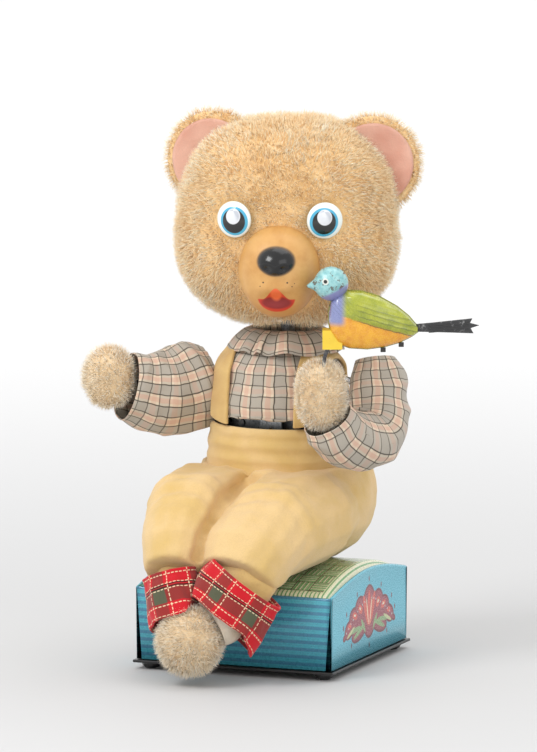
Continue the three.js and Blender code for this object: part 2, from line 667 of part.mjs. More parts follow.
const RIGHT_ARM = {
  rod: [[-9, 6, 98], [-27, 6, 98], [-38, -4, 95.5], [-50, -16, 96]],
  sleeve: [{
    path: [[-26.4, 6, 95], [-36, -4, 91.5], [-48.5, -16, 94]],
    profile: [[0, 0], [13, 0.01], [16.5, 0.2], [14.5, 0.6], [11.5, 1], [0, 1]],
    wide: [0, 0, 1],
    flat: 0.8,
  }],
  paw: [-52.5, -19.5, 98.5],
  pawSize: [9, 9, 10.5],
};
const LEFT_ARM = {
  rod: [[9, 6, 98], [26, 6, 98], [36, 2, 90], [37, -10, 82], [31, -22, 88]],
  sleeve: [{
    path: [[35.6, 9, 105], [38, 0, 77]],
    profile: [[0, 0], [7, 0.02], [10, 0.2], [11.5, 0.6], [9.5, 0.9], [4, 1], [0, 1]],
    wide: [0, 1, 0],
    flat: 0.85,
  }, {
    path: [[38.5, 4, 77], [33, -18, 84]],
    profile: [[0, 0], [6, 0.03], [10.5, 0.3], [10.5, 0.75], [9, 1], [0, 1]],
    wide: [0, 0, 1],
    flat: 0.9,
  }],
  paw: [28.6, -27, 98],
  pawSize: [8.6, 8.2, 12],
};

function makeArm(name, arm) {
  const rodBody = wire(arm.rod, SHOULDER.rod, 14);
  const rodRoom = wire(arm.rod, SHOULDER.rod + 2 * GAP, 14);
  const [x, y, z] = arm.paw;
  const paw = pillow(...arm.pawSize, 2.2, 16, 10).translate(x, y, z);
  const pawRoom = pillow(...arm.pawSize.map((size) => size + 2 * GAP), 2.2, 16, 10).translate(x, y, z);
  const lengths = arm.sleeve.map((part) => limb(part.path, part.profile, part.wide, part.flat, 14));
  const sleeve = join(...lengths);
  const [near, far] = x < 0 ? [-ARMPIT, 60] : [-60, ARMPIT];
  const torsoRoom = block([near, -60, 0], [far, 60, 140]);
  piece(`arm_rod_${name}`, rodBody, 'steel');
  piece(`sleeve_${name}`, cut(sleeve, rodRoom, pawRoom, torsoRoom), 'plaid');
  return { paw, rodRoom };
}

function makeArms() {
  const right = makeArm('right', RIGHT_ARM);
  piece('paw_right', cut(right.paw, right.rodRoom), 'paw');
  const left = makeArm('left', LEFT_ARM);
  const wireRoom = wire(birdWirePath(), BIRD_WIRE.radius + GAP, 10);
  piece('paw_left', cut(left.paw, left.rodRoom, wireRoom), 'paw');
}

// ---------------------------------------------------------------- tin bird

// A point given along the bird's length, across it and up, as a point of the toy.
function birdPoint(along, across, up) {
  const turn = BIRD.turn * DEGREE;
  return [
    BIRD.x + along * Math.cos(turn) - across * Math.sin(turn),
    BIRD.y + along * Math.sin(turn) + across * Math.cos(turn),
    BIRD.z + up,
  ];
}

function birdWirePath() {
  return [birdPoint(-15.6, 0, -9.7), birdPoint(-16.6, 0, -13), birdPoint(-17.2, 0, -20)];
}

// The bird's tin body from the breast, over the deepest part, to the rump.
const BIRD_SPINE = [[-15.2, 0, -0.3], [-6, 0, 0.1], [4.6, 0, -1.5], [15.2, 0, -3.6]];
const BIRD_PROFILE = [
  [0, 0], [5.6, 0.01], [8.4, 0.08], [10, 0.28], [9.4, 0.46], [7.6, 0.65], [4.8, 0.85], [1.5, 1], [0, 1],
];

function makeBird() {
  const bird = new THREE.Group();
  bird.position.set(BIRD.x, BIRD.y, BIRD.z);
  bird.rotation.z = BIRD.turn * DEGREE;
  toy.add(bird);

  const { flatness, head } = BIRD;
  const whole = limb(BIRD_SPINE, BIRD_PROFILE, [0, 0, 1], flatness, 16);
  const headAt = [-14.4, 0, 12.4];
  const headRoom = ball(head + GAP, head * 0.9 + GAP, head + GAP, 16, 10).translate(...headAt);
  const blockLow = [-17.4, -3, -10];
  const blockHigh = [-10.6, 3, -3.4];
  const blockRoom = block(blockLow.map((v) => v - GAP), blockHigh.map((v) => v + GAP));
  const tailRoom = block([11, -0.8, -6.6], [18, 0.8, 0.4]);
  const [near, far] = [[-GAP / 2, -20], [GAP / 2, 20]];
  const halves = [
    ['right', block([-30, near[1], -30], [30, near[0], 30])],
    ['left', block([-30, far[0], -30], [30, far[1], 30])],
  ];
  for (const [name, side] of halves) {
    const shell = cut(common(whole, side), headRoom, blockRoom, tailRoom);
    piece(`bird_body_${name}`, shell, 'birdBody', bird);
  }
  const beak = new THREE.ConeGeometry(1.5, 3.4, 10).rotateZ(Math.PI * 0.62);
  beak.translate(headAt[0] - head - 0.1, 0, headAt[2] - 0.8);
  const headBall = ball(head, head * 0.9, head, 16, 10).translate(...headAt);
  piece('bird_head', join(headBall, beak), 'birdBlue', bird);

  const perch = cut(block(blockLow, blockHigh), block([-16.6, -0.9, -11], [-14.6, 0.9, -9.2]));
  piece('bird_perch', perch, 'birdBlock', bird);

  const tail = new THREE.Shape();
  tail.moveTo(12.2, -4.2);
  tail.lineTo(12.2, -1.8);
  tail.lineTo(34, 0.4);
  tail.lineTo(33.2, -1.2);
  tail.lineTo(36.4, -2);
  tail.lineTo(33.4, -3);
  tail.lineTo(34.4, -4.8);
  tail.closePath();
  piece('bird_tail', standing(tail, -0.4, 0.8), 'birdTail', bird);
  const bottomOfBlock = birdWirePath();
  bottomOfBlock[0][2] = BIRD.z - 10.3;
  piece('bird_wire', wire(bottomOfBlock, BIRD_WIRE.radius, 10), 'steel');
}

// ---------------------------------------------------------------- assembly

makeBox();
makeCasing();
makeShirt();
makeOveralls();
makeCuffsAndFeet();
makeFrame();
makeKey();
makeTrain();
makeDriveLever();
makeHead();
makeArms();
makeBird();

// The origin goes under the middle of the whole toy.
const extent = new THREE.Box3().setFromObject(toy);
const middle = extent.getCenter(new THREE.Vector3());
toy.position.set(-middle.x, -middle.y, -extent.min.z);

export default toy;
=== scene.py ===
"""The looks of a clockwork bear that sits on a printed tin box and holds a tin bird.

Lengths inside this script are millimetres from the middle of the tin box, on the surface it
stands on: +Z up, the bear faces -Y and +X is to its left. place() turns them into metres.
"""

import math

import bmesh
import bpy
import numpy as np
from mathutils import Matrix, Vector


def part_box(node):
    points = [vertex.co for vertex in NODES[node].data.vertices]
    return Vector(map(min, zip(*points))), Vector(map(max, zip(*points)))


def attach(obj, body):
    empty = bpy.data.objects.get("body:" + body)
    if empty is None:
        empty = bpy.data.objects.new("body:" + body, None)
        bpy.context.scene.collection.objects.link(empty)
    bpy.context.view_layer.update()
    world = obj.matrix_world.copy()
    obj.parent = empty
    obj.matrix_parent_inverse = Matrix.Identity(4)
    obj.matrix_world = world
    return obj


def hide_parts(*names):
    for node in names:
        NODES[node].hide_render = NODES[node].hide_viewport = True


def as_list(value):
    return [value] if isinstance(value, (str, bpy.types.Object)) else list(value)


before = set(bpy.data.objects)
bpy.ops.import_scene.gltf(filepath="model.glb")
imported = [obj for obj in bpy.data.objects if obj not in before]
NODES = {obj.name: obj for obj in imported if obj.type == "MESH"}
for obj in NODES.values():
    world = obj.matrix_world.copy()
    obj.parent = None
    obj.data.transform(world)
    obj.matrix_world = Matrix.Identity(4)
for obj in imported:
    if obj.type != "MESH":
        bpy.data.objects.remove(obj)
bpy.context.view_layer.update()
MM = 0.001
BASE_LOW, BASE_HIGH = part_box("base_plate")
ORIGIN = np.array([(BASE_LOW.x + BASE_HIGH.x) / 2, (BASE_LOW.y + BASE_HIGH.y) / 2, 0.0])

# Head: its middle and how far it is turned to its left at rest.
HEAD_AT = np.array([2.0, 10.0, 152.0])
HEAD_TURN = math.radians(16)
HEAD_SIZE = np.array([36.2, 32.5, 35.2])
HEAD_ROUNDNESS = 2.5
MUZZLE_AT = np.array([0.0, -31.5, -13.0])
EYE_SPOTS = [(-15.6, -31.2, 4.8), (15.6, -31.2, 4.8)]


# ------------------------------------------------------------------ points and meshes

def place(points):
    """Millimetres from the middle of the box to metres in the frame."""
    return np.asarray(points, float) * MM + ORIGIN


def turned(points, angle, axis="Z"):
    """Points turned about an axis through zero."""
    matrix = np.array(Matrix.Rotation(angle, 3, axis))
    return np.asarray(points, float) @ matrix.T


def on_head(points):
    """Points drawn about the head's middle, facing -Y, moved to where the head is."""
    return turned(points, HEAD_TURN) + HEAD_AT


def belongs(piece, body, node):
    """Fixes a visible piece to its body, in place of a CAD node."""
    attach(piece, body)
    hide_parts(node)


def unit(vectors):
    vectors = np.asarray(vectors, float)
    return vectors / np.maximum(np.linalg.norm(vectors, axis=-1, keepdims=True), 1e-9)


def hills(points, size, seed=0):
    """Smooth noise from -1 to 1; size is the distance between its hills."""
    p = np.asarray(points, float).reshape(-1, 3) / size
    cell = np.floor(p).astype(np.int64)
    share = p - cell
    share = share * share * (3 - 2 * share)
    total = np.zeros(len(p))
    for corner in np.ndindex(2, 2, 2):
        at = cell + corner
        code = at[:, 0] * 73856093 ^ at[:, 1] * 19349663 ^ at[:, 2] * 83492791 ^ (seed + 11) * 2654435
        code = (code ^ (code >> 13)) * 1274126177 & 0xFFFFFFFF
        value = ((code ^ (code >> 16)) & 0xFFFF) / 32767.5 - 1
        weight = np.prod(np.where(np.array(corner) == 1, share, 1 - share), axis=1)
        total += weight * value
    return total.reshape(np.asarray(points).shape[:-1])


def smooth_path(points, count):
    """A Catmull-Rom curve through the points, as evenly spaced points."""
    knots = np.asarray(points, float)
    ends = np.vstack([2 * knots[0] - knots[1], knots, 2 * knots[-1] - knots[-2]])
    fine = []
    for a, b, c, d in zip(ends, ends[1:], ends[2:], ends[3:]):
        for t in np.linspace(0, 1, 24, endpoint=False):
            fine.append(0.5 * (2 * b + (c - a) * t + (2 * a - 5 * b + 4 * c - d) * t * t
                               + (3 * b - a - 3 * c + d) * t ** 3))
    fine = np.array(fine + [knots[-1]])
    length = np.concatenate([[0], np.cumsum(np.linalg.norm(np.diff(fine, axis=0), axis=1))])
    steps = np.linspace(0, length[-1], count)
    return np.stack([np.interp(steps, length, fine[:, k]) for k in range(3)], axis=1)


def add_mesh(name, points, faces, materials, smooth=True):
    """A new object from points in box millimetres."""
    mesh = bpy.data.meshes.new(name)
    mesh.from_pydata(place(points).tolist(), [], faces)
    for material in materials if isinstance(materials, list) else [materials]:
        mesh.materials.append(material)
    mesh.polygons.foreach_set("use_smooth", [smooth] * len(mesh.polygons))
    mesh.update()
    obj = bpy.data.objects.new(name, mesh)
    bpy.context.scene.collection.objects.link(obj)
    return obj


def face_outward(obj, fill=False):
    """Turns every face of a closed form outward, after its open edges are filled if asked."""
    work = bmesh.new()
    work.from_mesh(obj.data)
    if fill:
        bmesh.ops.holes_fill(work, edges=[edge for edge in work.edges if edge.is_boundary], sides=0)
    bmesh.ops.recalc_face_normals(work, faces=work.faces)
    work.to_mesh(obj.data)
    work.free()


def skin(name, grid, weave, material, wrap=True, caps=(False, False)):
    """A sheet of quads over a grid of points. weave gives each grid corner its place in the
    cloth, in millimetres, which the woven materials read; it has one column more when wrapped."""
    rows, cols = grid.shape[:2]
    points = grid.reshape(-1, 3)
    across = cols if wrap else cols - 1
    faces, corners = [], []
    for i in range(rows - 1):
        for j in range(across):
            k = (j + 1) % cols
            faces.append((i * cols + j, i * cols + k, (i + 1) * cols + k, (i + 1) * cols + j))
            corners += [weave[i, j], weave[i, j + 1], weave[i + 1, j + 1], weave[i + 1, j]]
    for row, wanted in zip((0, rows - 1), caps):
        if wanted:
            points = np.vstack([points, grid[row].mean(axis=0)])
            hub = len(points) - 1
            for j in range(cols):
                pair = (row * cols + (j + 1) % cols, row * cols + j)
                faces.append((hub, *(pair if row == 0 else pair[::-1])))
                corners += [weave[row, j]] * 3
    obj = add_mesh(name, points, faces, material)
    cloth = obj.data.attributes.new("weave", "FLOAT_VECTOR", "CORNER")
    flat = np.zeros((len(corners), 3))
    flat[:, :2] = corners
    cloth.data.foreach_set("vector", flat.ravel())
    if wrap and all(caps):
        face_outward(obj)
    return obj


def sweep(path, cols, radius, wide, flat=1.0):
    """The grid around a path: radius is a list per row, or a function of (share, angle)."""
    path = np.asarray(path, float)
    rows = len(path)
    tangent = unit(np.gradient(path, axis=0))
    narrow = unit(np.cross(tangent, np.asarray(wide, float)))
    painted_shade_patches = np.cross(narrow, tangent)
    angle = np.linspace(0, 2 * math.pi, cols, endpoint=False)
    share = np.linspace(0, 1, rows)
    s, a = np.meshgrid(share, angle, indexing="ij")
    reach = radius(s, a) if callable(radius) else np.asarray(radius)[:, None] * np.ones(cols)
    grid = (path[:, None] + (reach * np.cos(a))[..., None] * painted_shade_patches[:, None]
            + (reach * np.sin(a) * flat)[..., None] * narrow[:, None])
    return grid


def weave_of(grid, wrap=True):
    """Each grid corner's place in the cloth: along the rows and around, measured on the grid."""
    around = np.concatenate([grid, grid[:, :1]], axis=1) if wrap else grid
    steps = np.linalg.norm(np.diff(around, axis=1), axis=2).mean(axis=0)
    u = np.concatenate([[0], np.cumsum(steps)])
    runs = np.linalg.norm(np.diff(around, axis=0), axis=2).mean(axis=1)
    v = np.concatenate([[0], np.cumsum(runs)])
    return np.stack(np.broadcast_arrays(u[None, :] - u[-1] / 2, v[:, None]), axis=2)


def thicken(obj, thickness, levels=0, offset=-1):
    """Gives a sheet its thickness, and smooths it."""
    solid = obj.modifiers.new("thickness", "SOLIDIFY")
    solid.thickness = thickness * MM
    solid.offset = offset
    if levels:
        smooth(obj, levels)


def smooth(obj, levels):
    rounder = obj.modifiers.new("smooth", "SUBSURF")
    rounder.levels = levels
    rounder.render_levels = levels


def rounded(size, exponent, rows, cols):
    """A grid over a ball swelled towards a box: a higher exponent is boxier."""
    polar = np.linspace(0.02, math.pi - 0.02, rows)
    angle = np.linspace(0, 2 * math.pi, cols, endpoint=False)
    p, a = np.meshgrid(polar, angle, indexing="ij")
    ball = np.stack([np.sin(p) * np.cos(a), np.sin(p) * np.sin(a), -np.cos(p)], axis=2)
    reach = (np.abs(ball) ** exponent).sum(axis=2, keepdims=True) ** (-1 / exponent)
    return ball * reach * np.asarray(size)


# ------------------------------------------------------------------ materials

class Paint:
    """A node material with short names for the nodes that the finishes below are built from."""

    def __init__(self, name, roughness=0.6, **sockets):
        self.material = bpy.data.materials.new(name)
        self.material.use_nodes = True
        self.nodes = self.material.node_tree.nodes
        self.links = self.material.node_tree.links
        self.shader = self.nodes["Principled BSDF"]
        self.shader.inputs["Roughness"].default_value = roughness
        for socket, value in sockets.items():
            self.shader.inputs[socket.replace("_", " ")].default_value = value

    def put(self, value, socket):
        if isinstance(value, bpy.types.NodeSocket):
            self.links.new(value, socket)
        else:
            socket.default_value = value

    def math(self, operation, *values, clamp=False):
        node = self.nodes.new("ShaderNodeMath")
        node.operation = operation
        node.use_clamp = clamp
        for value, socket in zip(values, node.inputs):
            self.put(value, socket)
        return node.outputs[0]

    def mix(self, share, first, second, blend="MIX"):
        node = self.nodes.new("ShaderNodeMix")
        node.data_type = "RGBA"
        node.blend_type = blend
        for value, index in ((share, 0), (first, 6), (second, 7)):
            if isinstance(value, tuple) and len(value) == 3:
                value = (*value, 1)
            self.put(value, node.inputs[index])
        return node.outputs[2]

    def places(self, attribute=None):
        """The X, Y and Z of a named attribute in mm, or of the object in metres."""
        if attribute:
            source = self.nodes.new("ShaderNodeAttribute")
            source.attribute_name = attribute
            vector = source.outputs["Vector"]
        else:
            vector = self.nodes.new("ShaderNodeTexCoord").outputs["Object"]
        split = self.nodes.new("ShaderNodeSeparateXYZ")
        self.links.new(vector, split.inputs[0])
        return vector, split.outputs[0], split.outputs[1], split.outputs[2]

    def noise(self, vector, scale, detail=3.0, roughness=0.6):
        node = self.nodes.new("ShaderNodeTexNoise")
        node.inputs["Scale"].default_value = scale
        node.inputs["Detail"].default_value = detail
        node.inputs["Roughness"].default_value = roughness
        self.links.new(vector, node.inputs["Vector"])
        return node.outputs["Fac"]

    def ramp(self, value, low, high, start=0.0, end=1.0):
        node = self.nodes.new("ShaderNodeMapRange")
        node.interpolation_type = "SMOOTHSTEP"
        for number, socket in zip((value, low, high, start, end), node.inputs):
            self.put(number, socket)
        return node.outputs[0]

    def mottle(self, vector, grain, span, light, dark):
        """Two tones that run into one another in patches. grain is the noise's scale and detail."""
        return self.mix(self.ramp(self.noise(vector, *grain), *span), light, dark)

    def stripe(self, across, period, middle, width, soft=0.08):
        """1 inside lines of the given width that repeat every period, and 0 between them."""
        shifted = self.math("ADD", across, period * 50.5 - middle)
        wrapped = self.math("MODULO", shifted, period)
        off = self.math("ABSOLUTE", self.math("SUBTRACT", wrapped, period / 2))
        return self.ramp(off, width / 2 - soft, width / 2 + soft, 1.0, 0.0)

    def ellipse(self, x, y, cx, cy, rx, ry, angle=0.0, soft=0.06):
        """1 inside an ellipse of the plane (x, y), and 0 outside it."""
        dx = self.math("SUBTRACT", x, cx)
        dy = self.math("SUBTRACT", y, cy)
        c, s = math.cos(angle), math.sin(angle)
        u = self.math("DIVIDE", self.math("ADD", self.math("MULTIPLY", dx, c),
                                          self.math("MULTIPLY", dy, s)), rx)
        v = self.math("DIVIDE", self.math("SUBTRACT", self.math("MULTIPLY", dy, c),
                                          self.math("MULTIPLY", dx, s)), ry)
        reach = self.math("SQRT", self.math("ADD", self.math("MULTIPLY", u, u),
                                            self.math("MULTIPLY", v, v)))
        return self.ramp(reach, 1 - soft, 1 + soft, 1.0, 0.0)

    def colour(self, value):
        if isinstance(value, tuple) and len(value) == 3:
            value = (*value, 1)
        self.put(value, self.shader.inputs["Base Color"])

    def bump(self, height, strength=0.4, distance=0.0002):
        node = self.nodes.new("ShaderNodeBump")
        node.inputs["Strength"].default_value = strength
        node.inputs["Distance"].default_value = distance
        self.links.new(height, node.inputs["Height"])
        self.links.new(node.outputs[0], self.shader.inputs["Normal"])

    def rough(self, value):
        self.put(value, self.shader.inputs["Roughness"])


def srgb(red, green, blue):
    """A screen colour, 0 to 1, as the linear colour that shaders take."""
    def linear(value):
        return value / 12.92 if value <= 0.04045 else ((value + 0.055) / 1.055) ** 2.4
    return (linear(red), linear(green), linear(blue))


def hair_finish(name, shade):
    """One plain tone of plush pile."""
    paint = Paint(name, roughness=0.75, Sheen_Weight=0.35, Sheen_Roughness=0.5,
                  Specular_IOR_Level=0.25)
    paint.colour(srgb(*shade))
    return paint.material


def backing_finish(name, dark, light):
    """The woven ground that the pile stands on, coloured darker than the pile as painted shade among the hair
    roots.
    """
    paint = Paint(name, roughness=0.95)
    vector, _, _, _ = paint.places()
    patches = paint.ramp(paint.noise(vector, 120), 0.35, 0.65)
    paint.colour(paint.mix(patches, srgb(*dark), srgb(*light)))
    paint.bump(paint.noise(vector, 1800, 2), 0.5, 0.0004)
    return paint.material


def felt_finish(name, light, shade, stains=()):
    """Felt: short matted fibres, broad patches of a darker, yellower shade tone as painted shade, and a few
    soiled spots.
    """
    paint = Paint(name, roughness=0.95, Sheen_Weight=0.25, Sheen_Roughness=0.6,
                  Specular_IOR_Level=0.2)
    vector = paint.places()[0]
    # Broad patches of the shade tone: painted shade, the felt's colour in its shaded creases, laid in at
    # random.
    painted_shade_patches = paint.ramp(paint.noise(vector, 45, 3), 0.38, 0.68)
    colour = paint.mix(painted_shade_patches, srgb(*light), srgb(*shade))
    fibre = paint.noise(vector, 2600, 4, 0.75)
    fleck = paint.ramp(fibre, 0.35, 0.7, 0.0, 0.35)
    colour = paint.mix(fleck, colour, srgb(*(tone * 0.86 for tone in light)))
    for (sx, sy, sz), radius, strength, tone in stains:
        point = paint.nodes.new("ShaderNodeVectorMath")
        point.operation = "DISTANCE"
        paint.links.new(vector, point.inputs[0])
        point.inputs[1].default_value = place((sx, sy, sz))
        ragged = paint.math("ADD", point.outputs["Value"],
                            paint.math("MULTIPLY", paint.noise(vector, 700, 2), radius * MM))
        spot = paint.ramp(ragged, radius * 0.9 * MM, radius * 1.7 * MM, strength, 0.0)
        colour = paint.mix(spot, colour, srgb(*tone))
    paint.colour(colour)
    pits = paint.math("ADD", fibre, paint.noise(vector, 900, 3))
    paint.bump(pits, 0.55, 0.0003)
    return paint.material


def plaid_finish(name):
    """Worn cotton plaid: cream and grey squares, faint pink bands and single black lines."""
    paint = Paint(name, roughness=0.9, Sheen_Weight=0.2, Specular_IOR_Level=0.2)
    vector, u, v, _ = paint.places("weave")
    wander = paint.noise(vector, 0.12, 2)
    drift = paint.math("MULTIPLY", paint.math("SUBTRACT", wander, 0.5), 1.6)
    u = paint.math("ADD", u, drift)
    v = paint.math("ADD", v, drift)
    period = 7.6
    warp_band = paint.stripe(u, period, 0, 4.0)
    weft_band = paint.stripe(v, period, 0, 4.0)
    colour = paint.mix(warp_band, srgb(0.86, 0.80, 0.71), srgb(0.70, 0.67, 0.62))
    shaded = paint.math("MULTIPLY", weft_band, 0.45)
    colour = paint.mix(shaded, colour, srgb(0.60, 0.58, 0.55))
    for across, strength in ((u, 0.4), (v, 0.25)):
        pink = paint.math("MULTIPLY", paint.stripe(across, period, period / 2, 1.7), strength)
        colour = paint.mix(pink, colour, srgb(0.80, 0.56, 0.48))
    for across, width, strength, offset in ((u, 0.42, 0.9, 1.9), (v, 0.38, 0.75, 1.9)):
        for side in (-1, 1):
            line = paint.stripe(across, period, period / 2 + side * offset, width)
            line = paint.math("MULTIPLY", line, strength)
            colour = paint.mix(line, colour, srgb(0.10, 0.09, 0.09))
    threads = paint.math("ADD", paint.stripe(u, 0.34, 0, 0.17, 0.07), paint.stripe(v, 0.34, 0, 0.17, 0.07))
    fade = paint.math("MULTIPLY", paint.noise(vector, 2.2, 4, 0.7), 0.18)
    colour = paint.mix(fade, colour, srgb(0.86, 0.80, 0.71))
    paint.colour(colour)
    paint.bump(threads, 0.35, 0.00008)
    return paint.material


def tartan_finish(name):
    """Red tartan cotton with green-grey bands, black double lines and cream stitches."""
    paint = Paint(name, roughness=0.88, Sheen_Weight=0.2, Specular_IOR_Level=0.2)
    vector, u, v, _ = paint.places("weave")
    dots = paint.noise(vector, 5.5, 2, 0.8)
    red = srgb(0.78, 0.10, 0.15)
    green = srgb(0.33, 0.35, 0.27)
    mixed = srgb(0.50, 0.20, 0.18)
    u_band = paint.stripe(u, 15, 0, 4.8)
    v_band = paint.stripe(v, 15, 9.4, 4.8)
    colour = paint.mix(paint.math("MULTIPLY", u_band, 0.75), red, mixed)
    colour = paint.mix(paint.math("MULTIPLY", v_band, 0.85), colour, mixed)
    both = paint.math("MULTIPLY", u_band, v_band)
    colour = paint.mix(both, colour, green)
    for across, middle in ((v, 6.0), (v, 6.9)):
        line = paint.stripe(across, 15, middle, 0.5)
        colour = paint.mix(paint.math("MULTIPLY", line, 0.9), colour, srgb(0.07, 0.08, 0.07))
    stitched = [(v, 1.2, u), (v, 5.5, u), (v, 7.5, u), (v, 12.6, u), (u, 3.4, v), (u, 11.2, v)]
    for across, middle, other in stitched:
        dash = paint.stripe(other, 1.5, middle, 1.0, 0.1)
        line = paint.math("MULTIPLY", paint.stripe(across, 15, middle, 0.34), dash)
        colour = paint.mix(paint.math("MULTIPLY", line, 0.9), colour, srgb(0.93, 0.85, 0.70))
    worn = paint.math("MULTIPLY", paint.ramp(dots, 0.5, 0.85), 0.2)
    colour = paint.mix(worn, colour, srgb(0.87, 0.36, 0.33))
    paint.colour(colour)
    threads = paint.math("ADD", paint.stripe(u, 0.36, 0, 0.18, 0.08), paint.stripe(v, 0.36, 0, 0.18, 0.08))
    paint.bump(threads, 0.45, 0.0001)
    return paint.material


def enamel_finish(name, colour, metal=0.0, worn=(0.16, 0.12, 0.09), wear=0.0, roughness=0.3):
    """Printed or painted tin: a gloss coat with fine scratches and some paint loss."""
    paint = Paint(name, roughness=roughness, Metallic=metal, Coat_Weight=0.3, Coat_Roughness=0.15)
    vector, _, _, _ = paint.places()
    base = paint.mix(paint.ramp(paint.noise(vector, 260, 3), 0.3, 0.75, 0.0, 0.25),
                     srgb(*colour), srgb(*(tone * 0.8 for tone in colour)))
    if wear:
        chips = paint.ramp(paint.noise(vector, 420, 5, 0.7), 0.72 - wear * 0.25, 0.76 - wear * 0.25)
        base = paint.mix(chips, base, srgb(*worn))
    paint.colour(base)
    paint.rough(paint.ramp(paint.noise(vector, 900, 3), 0.3, 0.8, roughness * 0.8, roughness * 1.5))
    paint.bump(paint.noise(vector, 1500, 2), 0.08, 0.0001)
    return paint.material


def metal_finish(name, colour, roughness=0.35):
    """Bare metal with fine rub marks."""
    paint = Paint(name, roughness=roughness, Metallic=1.0)
    vector, _, _, _ = paint.places()
    rubbed = paint.noise(vector, 900, 4, 0.7)
    dulled = srgb(*(tone * 0.7 for tone in colour))
    paint.colour(paint.mix(paint.ramp(rubbed, 0.3, 0.7), srgb(*colour), dulled))
    paint.rough(paint.ramp(rubbed, 0.2, 0.8, roughness * 0.7, roughness * 1.6))
    paint.bump(paint.noise(vector, 2500, 2), 0.1, 0.0001)
    return paint.material


PLUSH_TONES = [(1.0, 0.92, 0.76), (0.99, 0.87, 0.68), (1.0, 0.97, 0.88), (0.97, 0.80, 0.57)]
PAW_TONES = [(1.0, 0.95, 0.86), (0.99, 0.92, 0.80), (1.0, 0.98, 0.93), (0.97, 0.86, 0.71)]
PLUSH = [hair_finish(f"plush_pile_{k}", tone) for k, tone in enumerate(PLUSH_TONES)]
PAW_PLUSH = [hair_finish(f"paw_pile_{k}", tone) for k, tone in enumerate(PAW_TONES)]
# Both backings are darker than their pile: painted shade deep in the plush.
PLUSH_BACKING = backing_finish("plush_backing", (0.86, 0.70, 0.48), (0.93, 0.79, 0.58))
PAW_BACKING = backing_finish("paw_backing", (0.88, 0.77, 0.61), (0.94, 0.85, 0.71))
PLAID = plaid_finish("shirt_plaid")
TARTAN = tartan_finish("cuff_tartan")
FELT_STAINS = [
    ((22, -27, 62), 2.6, 0.85, (0.25, 0.20, 0.16)),
    ((27, -22, 70), 1.4, 0.5, (0.42, 0.30, 0.16)),
    ((33, -8, 62), 1.6, 0.5, (0.62, 0.40, 0.20)),
]
FELT = felt_finish("overalls_felt", (0.885, 0.755, 0.535), (0.84, 0.705, 0.435), FELT_STAINS)
STRAP_FELT = felt_finish("strap_felt", (0.87, 0.74, 0.48), (0.78, 0.62, 0.37))
PINK_FELT = felt_finish("ear_lining_felt", (0.89, 0.70, 0.62), (0.82, 0.58, 0.50))
WHITE_FELT = felt_finish("sole_felt", (0.90, 0.86, 0.79), (0.80, 0.73, 0.62))
BLACK_TIN = enamel_finish("black_tin", (0.07, 0.07, 0.075), roughness=0.35)
CASING_TIN = enamel_finish("casing_tin", (0.08, 0.08, 0.09), roughness=0.45)
STEEL = metal_finish("bare_steel", (0.66, 0.67, 0.68))
BRASS = metal_finish("bare_brass", (0.80, 0.64, 0.33))
SPRING_STEEL = metal_finish("spring_steel", (0.36, 0.42, 0.52))


# ------------------------------------------------------------------ plush

def scatter(points, faces, count, rng):
    """Random places on a surface, with the surface's direction there."""
    points = np.asarray(points, float)
    triangles = np.array([(f[0], f[k], f[k + 1]) for f in faces for k in range(1, len(f) - 1)])
    a, b, c = points[triangles[:, 0]], points[triangles[:, 1]], points[triangles[:, 2]]
    cross = np.cross(b - a, c - a)
    area = np.linalg.norm(cross, axis=1)
    chosen = rng.choice(len(triangles), count, p=area / area.sum())
    u, v = rng.random((2, count, 1))
    fold = (u + v) > 1
    u, v = np.where(fold, 1 - u, u), np.where(fold, 1 - v, v)
    spots = a[chosen] + u * (b - a)[chosen] + v * (c - a)[chosen]
    return spots, unit(cross[chosen])


